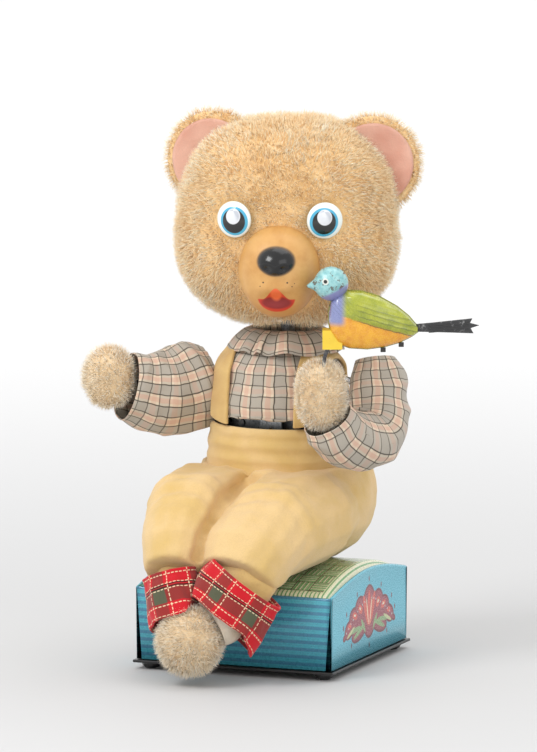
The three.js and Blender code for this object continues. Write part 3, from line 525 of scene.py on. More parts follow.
def pile(name, spots, outward, length, flow, materials, rng, thickness=0.17, ragged=0.35):
    """Tufts of hair as thin closed spikes, each of two lengths, bent along the flow."""
    count = len(spots)
    side = unit(np.cross(outward, unit(rng.normal(size=(count, 3)))))
    other = np.cross(outward, side)
    clump = np.stack([hills(spots, 2.6, seed) for seed in (1, 2, 3)], axis=1)
    stray = rng.normal(size=(count, 3)) * ragged
    lean = flow + clump * 0.55 + stray
    reach = (length * (0.72 + 0.42 * rng.random(count) + 0.16 * clump[:, 0]))[:, None]
    middle = spots + unit(outward + 0.45 * lean) * reach * 0.55
    tip = middle + unit(outward + 1.25 * lean) * reach * 0.5
    width = (thickness * (0.75 + 0.5 * rng.random(count)))[:, None]
    rings = []
    for centre, size in ((spots, 1.0), (middle, 0.7)):
        for k in range(3):
            angle = 2 * math.pi * k / 3
            rings.append(centre + width * size * (math.cos(angle) * side + math.sin(angle) * other) / 2)
    points = np.stack([*rings, tip], axis=1).reshape(-1, 3)
    one = [(2, 1, 0), (0, 1, 4), (0, 4, 3), (1, 2, 5), (1, 5, 4), (2, 0, 3), (2, 3, 5),
           (3, 4, 6), (4, 5, 6), (5, 3, 6)]
    faces = (np.array(one)[None] + 7 * np.arange(count)[:, None, None]).reshape(-1, 3)
    mesh = bpy.data.meshes.new(name)
    mesh.vertices.add(len(points))
    mesh.vertices.foreach_set("co", place(points).ravel())
    mesh.loops.add(faces.size)
    mesh.loops.foreach_set("vertex_index", faces.ravel().astype(np.int32))
    mesh.polygons.add(len(faces))
    mesh.polygons.foreach_set("loop_start", np.arange(0, faces.size, 3, dtype=np.int32))
    for material in materials:
        mesh.materials.append(material)
    tone = hills(spots, 9.0, 7) * 0.9 + hills(spots, 3.0, 8) * 0.5 + rng.normal(size=count) * 0.55
    index = np.digitize(tone, (-0.35, 0.35, 0.9))
    order = np.array([1, 0, 2, 3])[index] if len(materials) > 3 else index % len(materials)
    mesh.polygons.foreach_set("material_index", np.repeat(order, len(one)).astype(np.int32))
    mesh.polygons.foreach_set("use_smooth", np.ones(len(faces), bool))
    mesh.update(calc_edges=True)
    mesh.validate()
    obj = bpy.data.objects.new(name, mesh)
    bpy.context.scene.collection.objects.link(obj)
    return obj


HAIRS = 1.0
PILE_LIMIT = 19000


def cover(name, skin_object, density, length, flow, body, materials, seed, keep=None):
    """Covers a skin with pile, in as many pieces as its hairs need."""
    mesh = skin_object.data
    points = np.array([v.co for v in mesh.vertices]) / MM - ORIGIN / MM
    faces = [tuple(p.vertices) for p in mesh.polygons]
    area = sum(p.area for p in mesh.polygons) / MM ** 2
    rng = np.random.default_rng(seed)
    spots, outward = scatter(points, faces, int(area * density * HAIRS), rng)
    if keep is not None:
        wanted = keep(spots)
        spots, outward = spots[wanted], outward[wanted]
    tall = length(spots) if callable(length) else np.full(len(spots), length)
    way = flow(spots, outward)
    thick = 0.17 / math.sqrt(HAIRS) if HAIRS < 1 else 0.17
    pieces = max(1, math.ceil(len(spots) / PILE_LIMIT))
    made = []
    for k in range(pieces):
        share = slice(k, None, pieces)
        label = name if pieces == 1 else f"{name}_{k + 1}"
        fur = pile(label, spots[share], outward[share], tall[share], way[share], materials, rng, thick)
        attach(fur, body)
        made.append(fur)
    return made


# ------------------------------------------------------------------ head

def head_reach(points):
    """How far outside the head's rounded form each local point is, as a share of its size."""
    return (np.abs(points / HEAD_SIZE) ** HEAD_ROUNDNESS).sum(axis=-1) ** (1 / HEAD_ROUNDNESS)


def head_surface(rows=72, cols=96):
    """The head's skin: a rounded form with full cheeks, a flatter face and a soft brow."""
    local = rounded(HEAD_SIZE, HEAD_ROUNDNESS, rows, cols)
    x, y, z = np.moveaxis(local, 2, 0)
    cheek = np.exp(-((np.abs(x) - 27) / 13) ** 2 - ((z + 12) / 13) ** 2) * (y < 6)
    local[..., 0] += np.sign(x) * cheek * 1.6
    local[..., 1] -= cheek * 2.2
    socket = sum(np.exp(-((x - ex) / 8) ** 2 - ((z - ez) / 7) ** 2) for ex, _, ez in EYE_SPOTS)
    local[..., 1] += socket * (y < -10) * 1.6
    chin = np.exp(-(x / 20) ** 2 - ((z + 32) / 8) ** 2)
    local[..., 2] += chin * 1.0
    return local + 0.5 * unit(local) * hills(local, 9, 4)[..., None]


def head_flow(local, outward):
    """The pile falls away from the brow, out across the cheeks and down at the back."""
    away = unit(local - np.array([0, -30, 2.0]))
    away -= (away * outward).sum(axis=1, keepdims=True) * outward
    swirl = np.cross(outward, np.array([0, 1.0, 0.3]))
    patches = hills(local, 13, 21)[:, None]
    down = np.array([0, 0, -0.25])
    return 0.55 * away + 0.5 * patches * swirl + down


def make_head():
    local = head_surface()
    grid = on_head(local)
    head = skin("head_skin", grid, weave_of(grid), PLUSH_BACKING, caps=(True, True))
    belongs(head, "head", "head_plush")

    def bare_places(spots):
        at = turned(spots - HEAD_AT, -HEAD_TURN)
        muzzle = np.linalg.norm((at - MUZZLE_AT) / np.array([14.2, 60, 16.2]), axis=1)
        keep = (muzzle > 1) | (at[:, 1] > 0)
        for ex, _, ez in EYE_SPOTS:
            eye = np.hypot(at[:, 0] - ex, at[:, 2] - ez)
            keep &= (eye > 6.5) | (at[:, 1] > 0)
        neck = np.hypot(at[:, 0], at[:, 1]) < 12
        return keep & ~(neck & (at[:, 2] < 0))

    def tall(spots):
        at = turned(spots - HEAD_AT, -HEAD_TURN)
        front = at[:, 1] < 0
        edge = np.linalg.norm((at - MUZZLE_AT) / np.array([14.2, 60, 16.2]), axis=1)
        trim = np.exp(-((edge - 1) / 0.16) ** 2)
        for ex, _, ez in EYE_SPOTS:
            trim = np.maximum(trim, np.exp(-((np.hypot(at[:, 0] - ex, at[:, 2] - ez) - 6.5) / 2.2) ** 2))
        return 3.0 - 1.8 * trim * front

    def flow(spots, outward):
        at = turned(spots - HEAD_AT, -HEAD_TURN)
        return turned(head_flow(at, turned(outward, -HEAD_TURN)), HEAD_TURN)

    cover("head_pile", head, 3.2, tall, flow, "head", PLUSH, 5, bare_places)


# ------------------------------------------------------------------ floor, light and camera

PHOTO = {"azimuth": 21.3, "elevation": 9.1, "mm_per_px": 0.346, "width": 537, "height": 752}
CAMERA_DISTANCE = 6.0


def make_camera():
    """A long lens at the angle that shows the toy from its left front."""
    azimuth, elevation = (math.radians(PHOTO[k]) for k in ("azimuth", "elevation"))
    towards = Vector((math.sin(azimuth) * math.cos(elevation),
                      -math.cos(azimuth) * math.cos(elevation), math.sin(elevation)))
    right = Vector((math.cos(azimuth), math.sin(azimuth), 0))
    up = towards.cross(right)
    # The frame's middle, in millimetres right of and above the middle of the box.
    aim_right, aim_up = -1.2, 97.6
    centre = Vector(place((0, 0, 0))) + right * aim_right * MM + up * aim_up * MM
    camera = bpy.data.cameras.new("camera")
    height = PHOTO["height"] * PHOTO["mm_per_px"] * MM
    camera.sensor_fit = "VERTICAL"
    camera.sensor_height = 24
    camera.lens = 24 * CAMERA_DISTANCE / height
    camera.clip_end = 20
    obj = bpy.data.objects.new("camera", camera)
    obj.location = centre + towards * CAMERA_DISTANCE
    obj.rotation_euler = (-towards).to_track_quat("-Z", "Y").to_euler()
    bpy.context.scene.collection.objects.link(obj)
    bpy.context.scene.camera = obj


def make_studio():
    """A floor painted pale near the toy and grey away from it, a painted pool of light, and large soft
    lights.
    """
    floor = bpy.data.meshes.new("floor")
    reach = 3.0
    floor.from_pydata([(-reach, -reach, 0), (reach, -reach, 0), (reach, reach, 0), (-reach, reach, 0)],
                      [], [(0, 1, 2, 3)])
    paint = Paint("floor", roughness=0.7)
    _, x, y, _ = paint.places()
    away = paint.math("SQRT", paint.math("ADD", paint.math("MULTIPLY", x, x), paint.math("MULTIPLY", y, y)))
    # Pale near the toy and darker far off: a painted pool of light on the floor.
    near = paint.ramp(away, 0.12, 1.1, 1.0, 0.0)
    paint.colour(paint.mix(near, (0.97, 0.97, 0.97, 1), (0.56, 0.56, 0.562, 1)))
    floor.materials.append(paint.material)
    obj = bpy.data.objects.new("floor", floor)
    bpy.context.scene.collection.objects.link(obj)
    world = bpy.data.worlds.new("studio")
    world.use_nodes = True
    background = world.node_tree.nodes["Background"]
    background.inputs["Color"].default_value = (1, 1, 1, 1)
    background.inputs["Strength"].default_value = 1.0
    bpy.context.scene.world = world
    bpy.context.scene.view_settings.view_transform = "Standard"
    lamps = [("key", (-0.45, -0.7, 0.9), 5.5, 0.45), ("fill", (0.8, -0.6, 0.6), 1.6, 0.7),
             ("top", (0.1, 0.35, 1.1), 2.5, 0.8)]
    for name, spot, power, size in lamps:
        lamp = bpy.data.lights.new(name, "AREA")
        lamp.energy = power
        lamp.size = size
        obj = bpy.data.objects.new(name, lamp)
        obj.location = spot
        obj.rotation_euler = (Vector((0, 0, 0.09)) - obj.location).to_track_quat("-Z", "Y").to_euler()
        bpy.context.scene.collection.objects.link(obj)




# ------------------------------------------------------------------ ears, eyes and muzzle

EARS = {
    "right": {"x": -26.2, "z": 20.9, "lean": 0.42, "turn": -0.25},
    "left": {"x": 29.2, "z": 19.9, "lean": -0.55, "turn": 0.25},
}
EAR_RADIUS = 16.4
LINING_RADIUS = 14.0
EAR_Y = 1.0


def ear_place(ear, points):
    """Points drawn about an ear's middle, facing -Y, moved onto the head."""
    points = turned(points, ear["turn"])
    points = turned(points, ear["lean"], "Y")
    return on_head(points + np.array([ear["x"], EAR_Y, ear["z"]]))


def saucer(radius, depth, thickness, rows, cols):
    """A round dished disc that faces -Y, as a grid from its middle to its rim and round the back."""
    share = np.concatenate([np.linspace(0.03, 1, rows), np.linspace(1, 0.03, rows)])
    angle = np.linspace(0, 2 * math.pi, cols, endpoint=False)
    s, a = np.meshgrid(share, angle, indexing="ij")
    behind = np.concatenate([np.zeros(rows), np.ones(rows)])[:, None]
    edge = np.sqrt(np.clip(1 - s ** 6, 0, 1))
    y = depth * (1 - s ** 2) + (behind - 0.5) * thickness * (0.35 + 0.65 * edge)
    return np.stack([radius * s * np.cos(a), y, radius * s * np.sin(a)], axis=2)


def make_ears():
    for side, ear in EARS.items():
        shell = saucer(EAR_RADIUS, 2.2, 6.2, 12, 48)
        grid = ear_place(ear, shell + np.array([0, 1.2, 0]))
        back = skin(f"ear_{side}_skin", grid, weave_of(grid), PLUSH_BACKING, caps=(True, True))
        belongs(back, "head", f"ear_{side}")

        def rim_and_back(spots, ear=ear):
            local = turned(spots - HEAD_AT, -HEAD_TURN) - np.array([ear["x"], EAR_Y, ear["z"]])
            local = turned(turned(local, -ear["lean"], "Y"), -ear["turn"])
            inside = np.hypot(local[:, 0], local[:, 2]) < LINING_RADIUS + 0.2
            clear = head_reach(turned(spots - HEAD_AT, -HEAD_TURN)) > 0.99
            return ~(inside & (local[:, 1] < 1.5)) & clear

        centre = ear_place(ear, np.zeros(3))

        def outwards(spots, outward, centre=centre):
            away = unit(spots - centre)
            return 0.35 * away + np.array([0, 0.15, -0.15])

        cover(f"ear_{side}_pile", back, 3.4, 2.6, outwards, "head", PLUSH, 31, rim_and_back)

        lining = saucer(LINING_RADIUS, 2.4, 1.0, 14, 56)
        lining[..., 1] += 0.18 * hills(lining, 3.0, 12)
        grid = ear_place(ear, lining + np.array([0, -1.9, 0]))
        felt = skin(f"ear_{side}_lining", grid, weave_of(grid), PINK_FELT, caps=(True, True))
        belongs(felt, "head", f"ear_lining_{side}")


def eye_finish(name, inward):
    """A printed eye: white edge, blue ring, black pupil and a bright round highlight, with a painted grey
    reflection fanning over the highlight.
    """
    paint = Paint(f"eye_print_{name}", roughness=0.12, Coat_Weight=0.6, Coat_Roughness=0.05)
    _, x, y, _ = paint.places("weave")
    ring = paint.ellipse(x, y, inward * 0.6, -0.4, 5.0, 5.0, 0, 0.02)
    colour = paint.mix(ring, srgb(0.90, 0.93, 0.92), srgb(0.27, 0.66, 0.80))
    pupil = paint.ellipse(x, y, inward * 0.6, -0.4, 4.1, 4.2, 0, 0.03)
    colour = paint.mix(pupil, colour, srgb(0.03, 0.03, 0.03))
    spot_x = inward * 0.5
    colour = paint.mix(paint.ellipse(x, y, spot_x, 1.3, 2.6, 2.7, 0, 0.04), colour, srgb(0.86, 0.87, 0.89))
    # A grey fan over the highlight disc: a painted reflection of the light on the eye's shiny metal.
    angle = paint.math("ARCTAN2", paint.math("SUBTRACT", y, 3.2), paint.math("SUBTRACT", x, spot_x))
    gleam = paint.math("ABSOLUTE", paint.math("SINE", paint.math("ADD", angle, 0.5)))
    painted_reflection = paint.ramp(gleam, 0.25, 0.8, 0.55, 0.0)
    painted_reflection = paint.math("MULTIPLY", painted_reflection, paint.ellipse(x, y, spot_x, 1.3, 2.3, 2.4, 0, 0.1))
    colour = paint.mix(painted_reflection, colour, srgb(0.58, 0.61, 0.66))
    paint.colour(colour)
    return paint.material


def make_eyes():
    radius, rise, tilt = 6.3, 1.9, 0.34
    for side, name in ((-1, "right"), (1, "left")):
        share = np.array([0.02, 0.2, 0.4, 0.6, 0.75, 0.88, 0.96, 1.0, 1.0, 0.9, 0.02])
        height = rise * (1 - share ** 2) + 0.5
        height[7:] = (0.3, -0.5, -0.7, -0.7)
        angle = np.linspace(0, 2 * math.pi, 48, endpoint=False)
        s, a = np.meshgrid(share, angle, indexing="ij")
        disc = np.stack([radius * s * np.cos(a), -np.repeat(height[:, None], 48, 1),
                         radius * s * np.sin(a)], axis=2)
        printed = np.stack([disc[..., 0], disc[..., 2]], axis=2)
        printed = np.concatenate([printed, printed[:, :1]], axis=1)
        ex, ey, ez = EYE_SPOTS[0 if side < 0 else 1]
        grid = on_head(turned(disc, side * tilt) + np.array([ex, ey - 0.6, ez]))
        eye = skin(f"eye_{name}_print", grid, printed, eye_finish(name, -side), caps=(True, True))
        belongs(eye, "head", f"eye_{name}")


NOSE = {"x": 0.0, "z": 5.4, "half_width": 6.2, "half_height": 4.6}


def muzzle_finish():
    """Soft tan vinyl with a painted black nose and an open red mouth."""
    paint = Paint("muzzle_vinyl", roughness=0.42, Subsurface_Weight=0.0, Coat_Weight=0.12,
                  Coat_Roughness=0.3)
    vector, x, z, _ = paint.places("weave")
    tan = paint.mottle(vector, (0.12, 4), (0.3, 0.75), srgb(0.83, 0.64, 0.38), srgb(0.76, 0.55, 0.29))
    low = paint.ramp(z, -14, -4, 0.5, 0.0)
    colour = paint.mix(low, tan, srgb(0.74, 0.50, 0.26))
    # A dark brown ring round the nose: painted shade where the raised nose meets the muzzle.
    ring = paint.ellipse(x, z, NOSE["x"], NOSE["z"], 6.6, 5.0, 0, 0.08)
    colour = paint.mix(ring, colour, srgb(0.34, 0.27, 0.20))
    nose = paint.ellipse(x, z, NOSE["x"], NOSE["z"], 6.0, 4.4, 0, 0.07)
    colour = paint.mix(nose, colour, srgb(0.05, 0.05, 0.055))
    peak = paint.math("SUBTRACT", paint.ramp(paint.math("ABSOLUTE", x), 0.0, 4.8, 4.2, 0.0), 0.6)
    mouth_top = paint.math("ADD", peak, -7.4)
    inside = paint.math("MULTIPLY", paint.ramp(paint.math("SUBTRACT", mouth_top, z), -0.15, 0.15),
                        paint.ellipse(x, z, 0.0, -7.6, 6.4, 5.0, 0, 0.04))
    colour = paint.mix(inside, colour, srgb(0.80, 0.20, 0.12))
    dark = paint.ellipse(x, z, 0.0, -9.2, 5.2, 2.2, 0, 0.2)
    colour = paint.mix(paint.math("MULTIPLY", dark, inside), colour, srgb(0.52, 0.08, 0.07))
    light = paint.ellipse(x, z, 0.0, -5.8, 1.9, 2.6, 0, 0.3)
    colour = paint.mix(paint.math("MULTIPLY", light, inside), colour, srgb(0.90, 0.40, 0.20))
    freckles = [(-4.3, -1.8, 0.28), (4.0, -1.8, 0.28), (-5.4, -3.2, 0.2), (5.6, -3.2, 0.2), (6.4, -2.2, 0.16)]
    for dx, dz, size in freckles:
        colour = paint.mix(paint.ellipse(x, z, dx, dz, size, size, 0, 0.3), colour, srgb(0.10, 0.07, 0.05))
    paint.colour(colour)
    paint.rough(paint.mix(nose, (0.45, 0.45, 0.45), (0.16, 0.16, 0.16)))
    paint.bump(paint.noise(vector, 2.2, 3), 0.06, 0.0002)
    return paint.material


def make_muzzle():
    """An egg of vinyl: the nose stands proud, the lips are pursed round the mouth."""
    size = np.array([14.0, 15.0, 15.9])
    local = rounded(size, 2.15, 90, 120)
    x, y, z = np.moveaxis(local, 2, 0)
    front = np.clip(-y / size[1], 0, 1)
    nose = np.clip(1 - ((x - NOSE["x"]) / NOSE["half_width"]) ** 2
                   - ((z - NOSE["z"]) / NOSE["half_height"]) ** 2, 0, 1)
    local[..., 1] -= front * 2.6 * np.sqrt(nose)
    for side in (-1, 1):
        nostril = np.exp(-((x - side * 2.9) / 1.5) ** 2 - ((z - NOSE["z"] + 2.4) / 1.1) ** 2)
        local[..., 1] += front * nostril * 1.6
        lip = np.exp(-((x - side * 3.4) / 3.2) ** 2 - ((z + 3.6 + abs(side) * 0.6) / 2.0) ** 2)
        local[..., 1] -= front * lip * 0.9
    mouth = np.exp(-(x / 5.0) ** 2 - ((z + 8.2) / 2.2) ** 2)
    local[..., 1] += front * mouth * 1.8
    chin = np.exp(-(x / 5.5) ** 2 - ((z + 11.8) / 1.8) ** 2)
    local[..., 1] -= front * chin * 0.8
    local[..., 0] *= 1 - 0.10 * np.clip(-z / size[2], 0, 1)
    printed = np.stack([x, z], axis=2)
    printed = np.concatenate([printed, printed[:, :1]], axis=1)
    grid = on_head(local + MUZZLE_AT)
    muzzle = skin("muzzle_mask", grid, printed, muzzle_finish(), caps=(True, True))
    belongs(muzzle, "head", "muzzle")


# ------------------------------------------------------------------ tin box

BOX_HALF_WIDTH, BOX_HALF_DEPTH = 36.0, 36.5
WALL_BOTTOM, WALL_TOP, ARCH_RISE = 3.6, 28.9, 4.9
SEAT_INSET, SEAT_EDGE, SEAT_CROWN = 1.4, 28.6, 35.4


def striped_finish():
    """Front and rear panels: fine light and dark stripes printed over blue-green."""
    paint = Paint("litho_stripes", roughness=0.3, Metallic=0.15, Coat_Weight=0.4, Coat_Roughness=0.12)
    vector, _, _, z = paint.places()
    height = paint.math("MULTIPLY", z, 1 / MM)
    bright, dark = srgb(0.31, 0.69, 0.76), srgb(0.28, 0.53, 0.65)
    colour = paint.mix(paint.stripe(height, 2.55, 0.4, 1.15, 0.2), bright, dark)
    fine = paint.math("MULTIPLY", paint.stripe(height, 0.85, 0.1, 0.26, 0.12), 0.3)
    colour = paint.mix(fine, colour, srgb(0.22, 0.46, 0.58))
    speckle = paint.ramp(paint.noise(vector, 300, 4, 0.7), 0.45, 0.8, 0, 0.25)
    colour = paint.mix(speckle, colour, srgb(0.30, 0.55, 0.62))
    worn = paint.ramp(paint.noise(vector, 160, 5, 0.75), 0.70, 0.74, 0, 0.55)
    colour = paint.mix(worn, colour, srgb(0.62, 0.74, 0.75))
    paint.colour(colour)
    paint.rough(paint.ramp(paint.noise(vector, 700, 3), 0.3, 0.8, 0.22, 0.42))
    return paint.material


def floral_finish():
    """Side panels: plain blue-green with a mirrored spray of a tulip, buds and leaves."""
    paint = Paint("litho_floral", roughness=0.3, Metallic=0.15, Coat_Weight=0.4, Coat_Roughness=0.12)
    vector, u, v, _ = paint.places("weave")
    noise = paint.ramp(paint.noise(vector, 0.25, 3), 0.3, 0.8, 0, 0.25)
    colour = paint.mix(noise, srgb(0.40, 0.74, 0.82), srgb(0.33, 0.64, 0.74))
    across = paint.math("ABSOLUTE", u)
    maroon, coral = srgb(0.47, 0.20, 0.24), srgb(0.83, 0.40, 0.36)
    leaf, pale, cream = srgb(0.56, 0.68, 0.50), srgb(0.78, 0.80, 0.62), srgb(0.93, 0.88, 0.76)
    lobes = [(0.0, 1.2, 6.6, 9.4, 0.0), (8.2, 2.6, 5.6, 5.2, 0.5), (13.8, 0.6, 5.4, 4.2, 0.15),
             (19.2, -2.4, 4.6, 3.2, -0.35), (9.5, -4.2, 7.6, 3.4, -0.25), (23.4, -4.6, 1.9, 1.2, -0.4)]
    for grow, tone in ((0.0, maroon), (-0.75, srgb(0.61, 0.33, 0.38))):
        for cx, cy, rx, ry, angle in lobes:
            petal = paint.ellipse(across, v, cx, cy, rx + grow, ry + grow, angle, 0.03)
            colour = paint.mix(petal, colour, tone)
    flowers = [(leaf, 9.6, -4.4, 5.6, 0.9, -0.35), (leaf, 13.5, -3.4, 5.2, 0.8, -0.1),
               (pale, 17.6, -3.6, 4.0, 0.6, -0.4), (coral, 3.1, 2.0, 1.5, 6.0, -0.42),
               (coral, 0.0, 2.4, 1.5, 6.2, 0.0), (cream, 1.6, 1.4, 0.35, 5.0, -0.22),
               (coral, 8.4, 3.2, 2.2, 1.5, 0.6), (coral, 13.6, 1.6, 2.3, 1.3, 0.3),
               (coral, 18.8, -1.2, 1.9, 1.0, -0.2), (cream, 8.6, 3.4, 0.8, 0.5, 0.6),
               (cream, 13.8, 1.8, 0.8, 0.4, 0.3), (leaf, 5.6, -3.0, 3.2, 0.8, 0.9)]
    for tone, cx, cy, rx, ry, angle in flowers:
        colour = paint.mix(paint.ellipse(across, v, cx, cy, rx, ry, angle, 0.07), colour, tone)
    for k in range(9):
        turn = 0.35 + k * 0.31
        height = 5.2 * math.cos(turn * 0.55) - 0.4 * k
        dot = paint.ellipse(across, v, 4.3 + 2.2 * k, height, 0.33, 0.33, 0, 0.3)
        colour = paint.mix(dot, colour, srgb(0.74, 0.84, 0.84))
    for cx, cy in ((0, 12.6), (11.5, 8.8), (21.6, 3.4), (24.6, -1.0), (0, -10.6), (17.0, -8.2)):
        colour = paint.mix(paint.ellipse(across, v, cx, cy, 0.45, 0.95, 0, 0.15), colour, maroon)
    paint.colour(colour)
    paint.rough(paint.ramp(paint.noise(vector, 2.2, 3), 0.3, 0.8, 0.22, 0.4))
    return paint.material


def basket_finish():
    """The seat: printed basket work in green, cream and dark brown with a plain border."""
    paint = Paint("litho_basket", roughness=0.3, Metallic=0.1, Coat_Weight=0.4, Coat_Roughness=0.12)
    vector, u, v, _ = paint.places("weave")
    cream, green, dark = srgb(0.90, 0.90, 0.78), srgb(0.42, 0.64, 0.42), srgb(0.22, 0.20, 0.13)
    cell = 6.4

    def odd(along):
        count = paint.math("DIVIDE", paint.math("ADD", along, 40 * cell), cell)
        return paint.math("MODULO", paint.math("FLOOR", count), 2)

    half, other = odd(u), odd(v)
    checker = paint.math("ABSOLUTE", paint.math("SUBTRACT", half, other))
    def strands(along):
        tone = paint.mix(paint.stripe(along, 1.6, 0.8, 0.85, 0.12), cream, green)
        return paint.mix(paint.stripe(along, 1.6, 0.15, 0.22, 0.08), tone, dark)
    colour = paint.mix(checker, strands(u), strands(v))
    for across in (u, v):
        gap = paint.stripe(across, cell, 0, 0.5, 0.12)
        colour = paint.mix(paint.math("MULTIPLY", gap, 0.85), colour, dark)
    edge_u = paint.ramp(paint.math("ABSOLUTE", u), 31.0, 31.3)
    edge_v = paint.ramp(paint.math("ABSOLUTE", v), 32.4, 32.7)
    edge = paint.math("MAXIMUM", edge_u, edge_v)
    border = paint.mix(paint.stripe(paint.math("ABSOLUTE", u), 1.5, 0.2, 0.5, 0.1), cream, green)
    colour = paint.mix(edge, colour, border)
    paint.colour(colour)
    paint.rough(paint.ramp(paint.noise(vector, 1.5, 3), 0.3, 0.8, 0.22, 0.42))
    strands = [paint.stripe(along, cell, cell / 2, cell * 0.7, 1.2) for along in (u, v)]
    bulge = paint.math("ADD", *strands)
    paint.bump(bulge, 0.35, 0.0004)
    return paint.material


def arch_height(y, edge, rise, half):
    return edge + rise * math.sin(math.pi * (0.5 + 0.5 * np.clip(y / half, -1, 1)))


def side_panel(sign, thickness=0.9, columns=60):
    """One arched side wall with a rolled top edge."""
    y = np.linspace(-BOX_HALF_DEPTH + 0.5, BOX_HALF_DEPTH - 0.5, columns)
    top = np.array([arch_height(v, WALL_TOP, ARCH_RISE, BOX_HALF_DEPTH) for v in y])
    x = sign * BOX_HALF_WIDTH
    inner = sign * (BOX_HALF_WIDTH - thickness)
    rows = [np.stack([np.full(columns, x), y, np.full(columns, WALL_BOTTOM)], 1)]
    for share in (0.33, 0.66):
        rows.append(np.stack([np.full(columns, x), y, WALL_BOTTOM + share * (top - WALL_BOTTOM)], 1))
    rows.append(np.stack([np.full(columns, x), y, top - 0.9], 1))
    rows.append(np.stack([np.full(columns, x + sign * 0.25), y, top - 0.35], 1))
    rows.append(np.stack([np.full(columns, (x + inner) / 2), y, top + 0.15], 1))
    rows.append(np.stack([np.full(columns, inner), y, top - 0.35], 1))
    rows.append(np.stack([np.full(columns, inner), y, np.full(columns, WALL_BOTTOM)], 1))
    return np.array(rows), y


def make_box():
    stripes, floral = striped_finish(), floral_finish()
    for sign, name in ((-1, "right"), (1, "left")):
        grid, y = side_panel(sign)
        printed = np.stack([np.broadcast_to(y, grid.shape[:2]), grid[..., 2] - 17.6], axis=2)
        printed[-2:, :, 1] = -13.5
        wall = skin(f"box_side_{name}", grid if sign > 0 else grid[:, ::-1],
                    printed if sign > 0 else printed[:, ::-1], floral, wrap=False)
        face_outward(wall, fill=True)
        belongs(wall, "base", "box_shell")
    for sign, name in ((-1, "front"), (1, "rear")):
        wall = tin_panel(f"box_panel_{name}", sign, stripes)
        belongs(wall, "base", "box_shell")
    seat = seat_dome(basket_finish())
    belongs(seat, "base", "seat_top")
    plate = base_tray()
    belongs(plate, "base", "base_plate")
    for node in ("front_right", "front_left", "rear_right", "rear_left"):
        pad = NODES[f"foot_pad_{node}"]
        finish_node(pad, BLACK_TIN, 0.35, 2)


def bevel(obj, width, segments=2):
    edge = obj.modifiers.new("edge", "BEVEL")
    edge.width = width * MM
    edge.segments = segments
    edge.limit_method = "ANGLE"
    edge.angle_limit = math.radians(35)
    return edge


def finish_node(node, material, edge=0.0, levels=0):
    """A CAD node keeps its shape and gets its material and softly rounded edges."""
    node.data.materials.clear()
    node.data.materials.append(material)
    if edge:
        bevel(node, edge, max(1, levels))


def slab(name, low, high, material, edge):
    """A plain sheet-metal plate with rounded edges."""
    low, high = np.asarray(low, float), np.asarray(high, float)
    corner = np.array([(x, y, z) for x in (0, 1) for y in (0, 1) for z in (0, 1)])
    points = low + corner * (high - low)
    faces = [(0, 1, 3, 2), (4, 6, 7, 5), (0, 4, 5, 1), (2, 3, 7, 6), (0, 2, 6, 4), (1, 5, 7, 3)]
    plate = add_mesh(name, points, faces, material, smooth=False)
    bevel(plate, edge, 3)
    return plate


def tin_panel(name, sign, material):
    """Front or rear wall, with a folded top edge."""
    y = sign * BOX_HALF_DEPTH
    half = BOX_HALF_WIDTH - 0.25
    profile = [(0.0, WALL_BOTTOM), (0.0, WALL_TOP - 0.7), (0.35, WALL_TOP - 0.1), (0.9, WALL_TOP - 0.1),
               (0.9, WALL_TOP - 1.2), (0.9, WALL_BOTTOM)]
    x = np.linspace(-half, half, 40)
    rows = [np.stack([x, np.full(40, y - sign * depth), np.full(40, z)], 1) for depth, z in profile]
    grid = np.array(rows)
    if sign > 0:
        grid = grid[:, ::-1]
    wall = skin(name, grid, weave_of(grid, False), material, wrap=False)
    face_outward(wall, fill=True)
    return wall


def seat_dome(material, rows=48, cols=48):
    """The padded-looking seat: arched front to back, rolled down at its four edges."""
    half_x = BOX_HALF_WIDTH - SEAT_INSET
    half_y = BOX_HALF_DEPTH - SEAT_INSET
    share = np.sin(np.linspace(-math.pi / 2, math.pi / 2, rows))
    v, u = np.meshgrid(np.sign(share) * np.abs(share) ** 0.9, np.linspace(-1, 1, cols), indexing="ij")
    u = np.sign(u) * (1 - (1 - np.abs(u)) ** 1.5)
    rise = SEAT_CROWN - SEAT_EDGE
    z = SEAT_EDGE + rise * np.cos(v * math.pi / 2) ** 0.8
    z -= 2.6 * np.clip((np.abs(u) - 0.9) / 0.1, 0, 1) ** 2
    z -= 1.4 * np.clip((np.abs(v) - 0.95) / 0.05, 0, 1) ** 2
    grid = np.stack([u * half_x, v * half_y, z], axis=2)
    printed = np.stack([u * half_x, v * half_y * 1.03], axis=2)
    dome = skin("seat_dome", grid, printed, material, wrap=False)
    thicken(dome, 0.8, 0, -1)
    return dome


def base_tray():
    tray = slab("base_tray", (-37, -37.5, 2.3), (37, 37.5, 3.3), BLACK_TIN, 0.35)
    return tray


# ------------------------------------------------------------------ shirt

TORSO_Y, TORSO_SQUASH = 8.0, 0.85
TORSO_HEIGHTS = [37.5, 44, 56, 74, 90, 102, 109.5, 111]
TORSO_RADII = [19, 22, 23, 22.5, 22, 19.5, 13, 8.5]


def cloth(piece, held, rests_on, with_pieces=()):
    """Measures a sheet of cloth: the flat size that its own weave has, which is not kept."""
    mesh = piece.data
    spread = np.zeros(len(mesh.loops) * 3)
    mesh.attributes["weave"].data.foreach_get("vector", spread)
    width, length = np.ptp(spread.reshape(-1, 3), axis=0)[:2] * MM
    area = sum(polygon.area for polygon in mesh.polygons)
    width = max(width, area / length)
    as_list(rests_on)
    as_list(with_pieces)


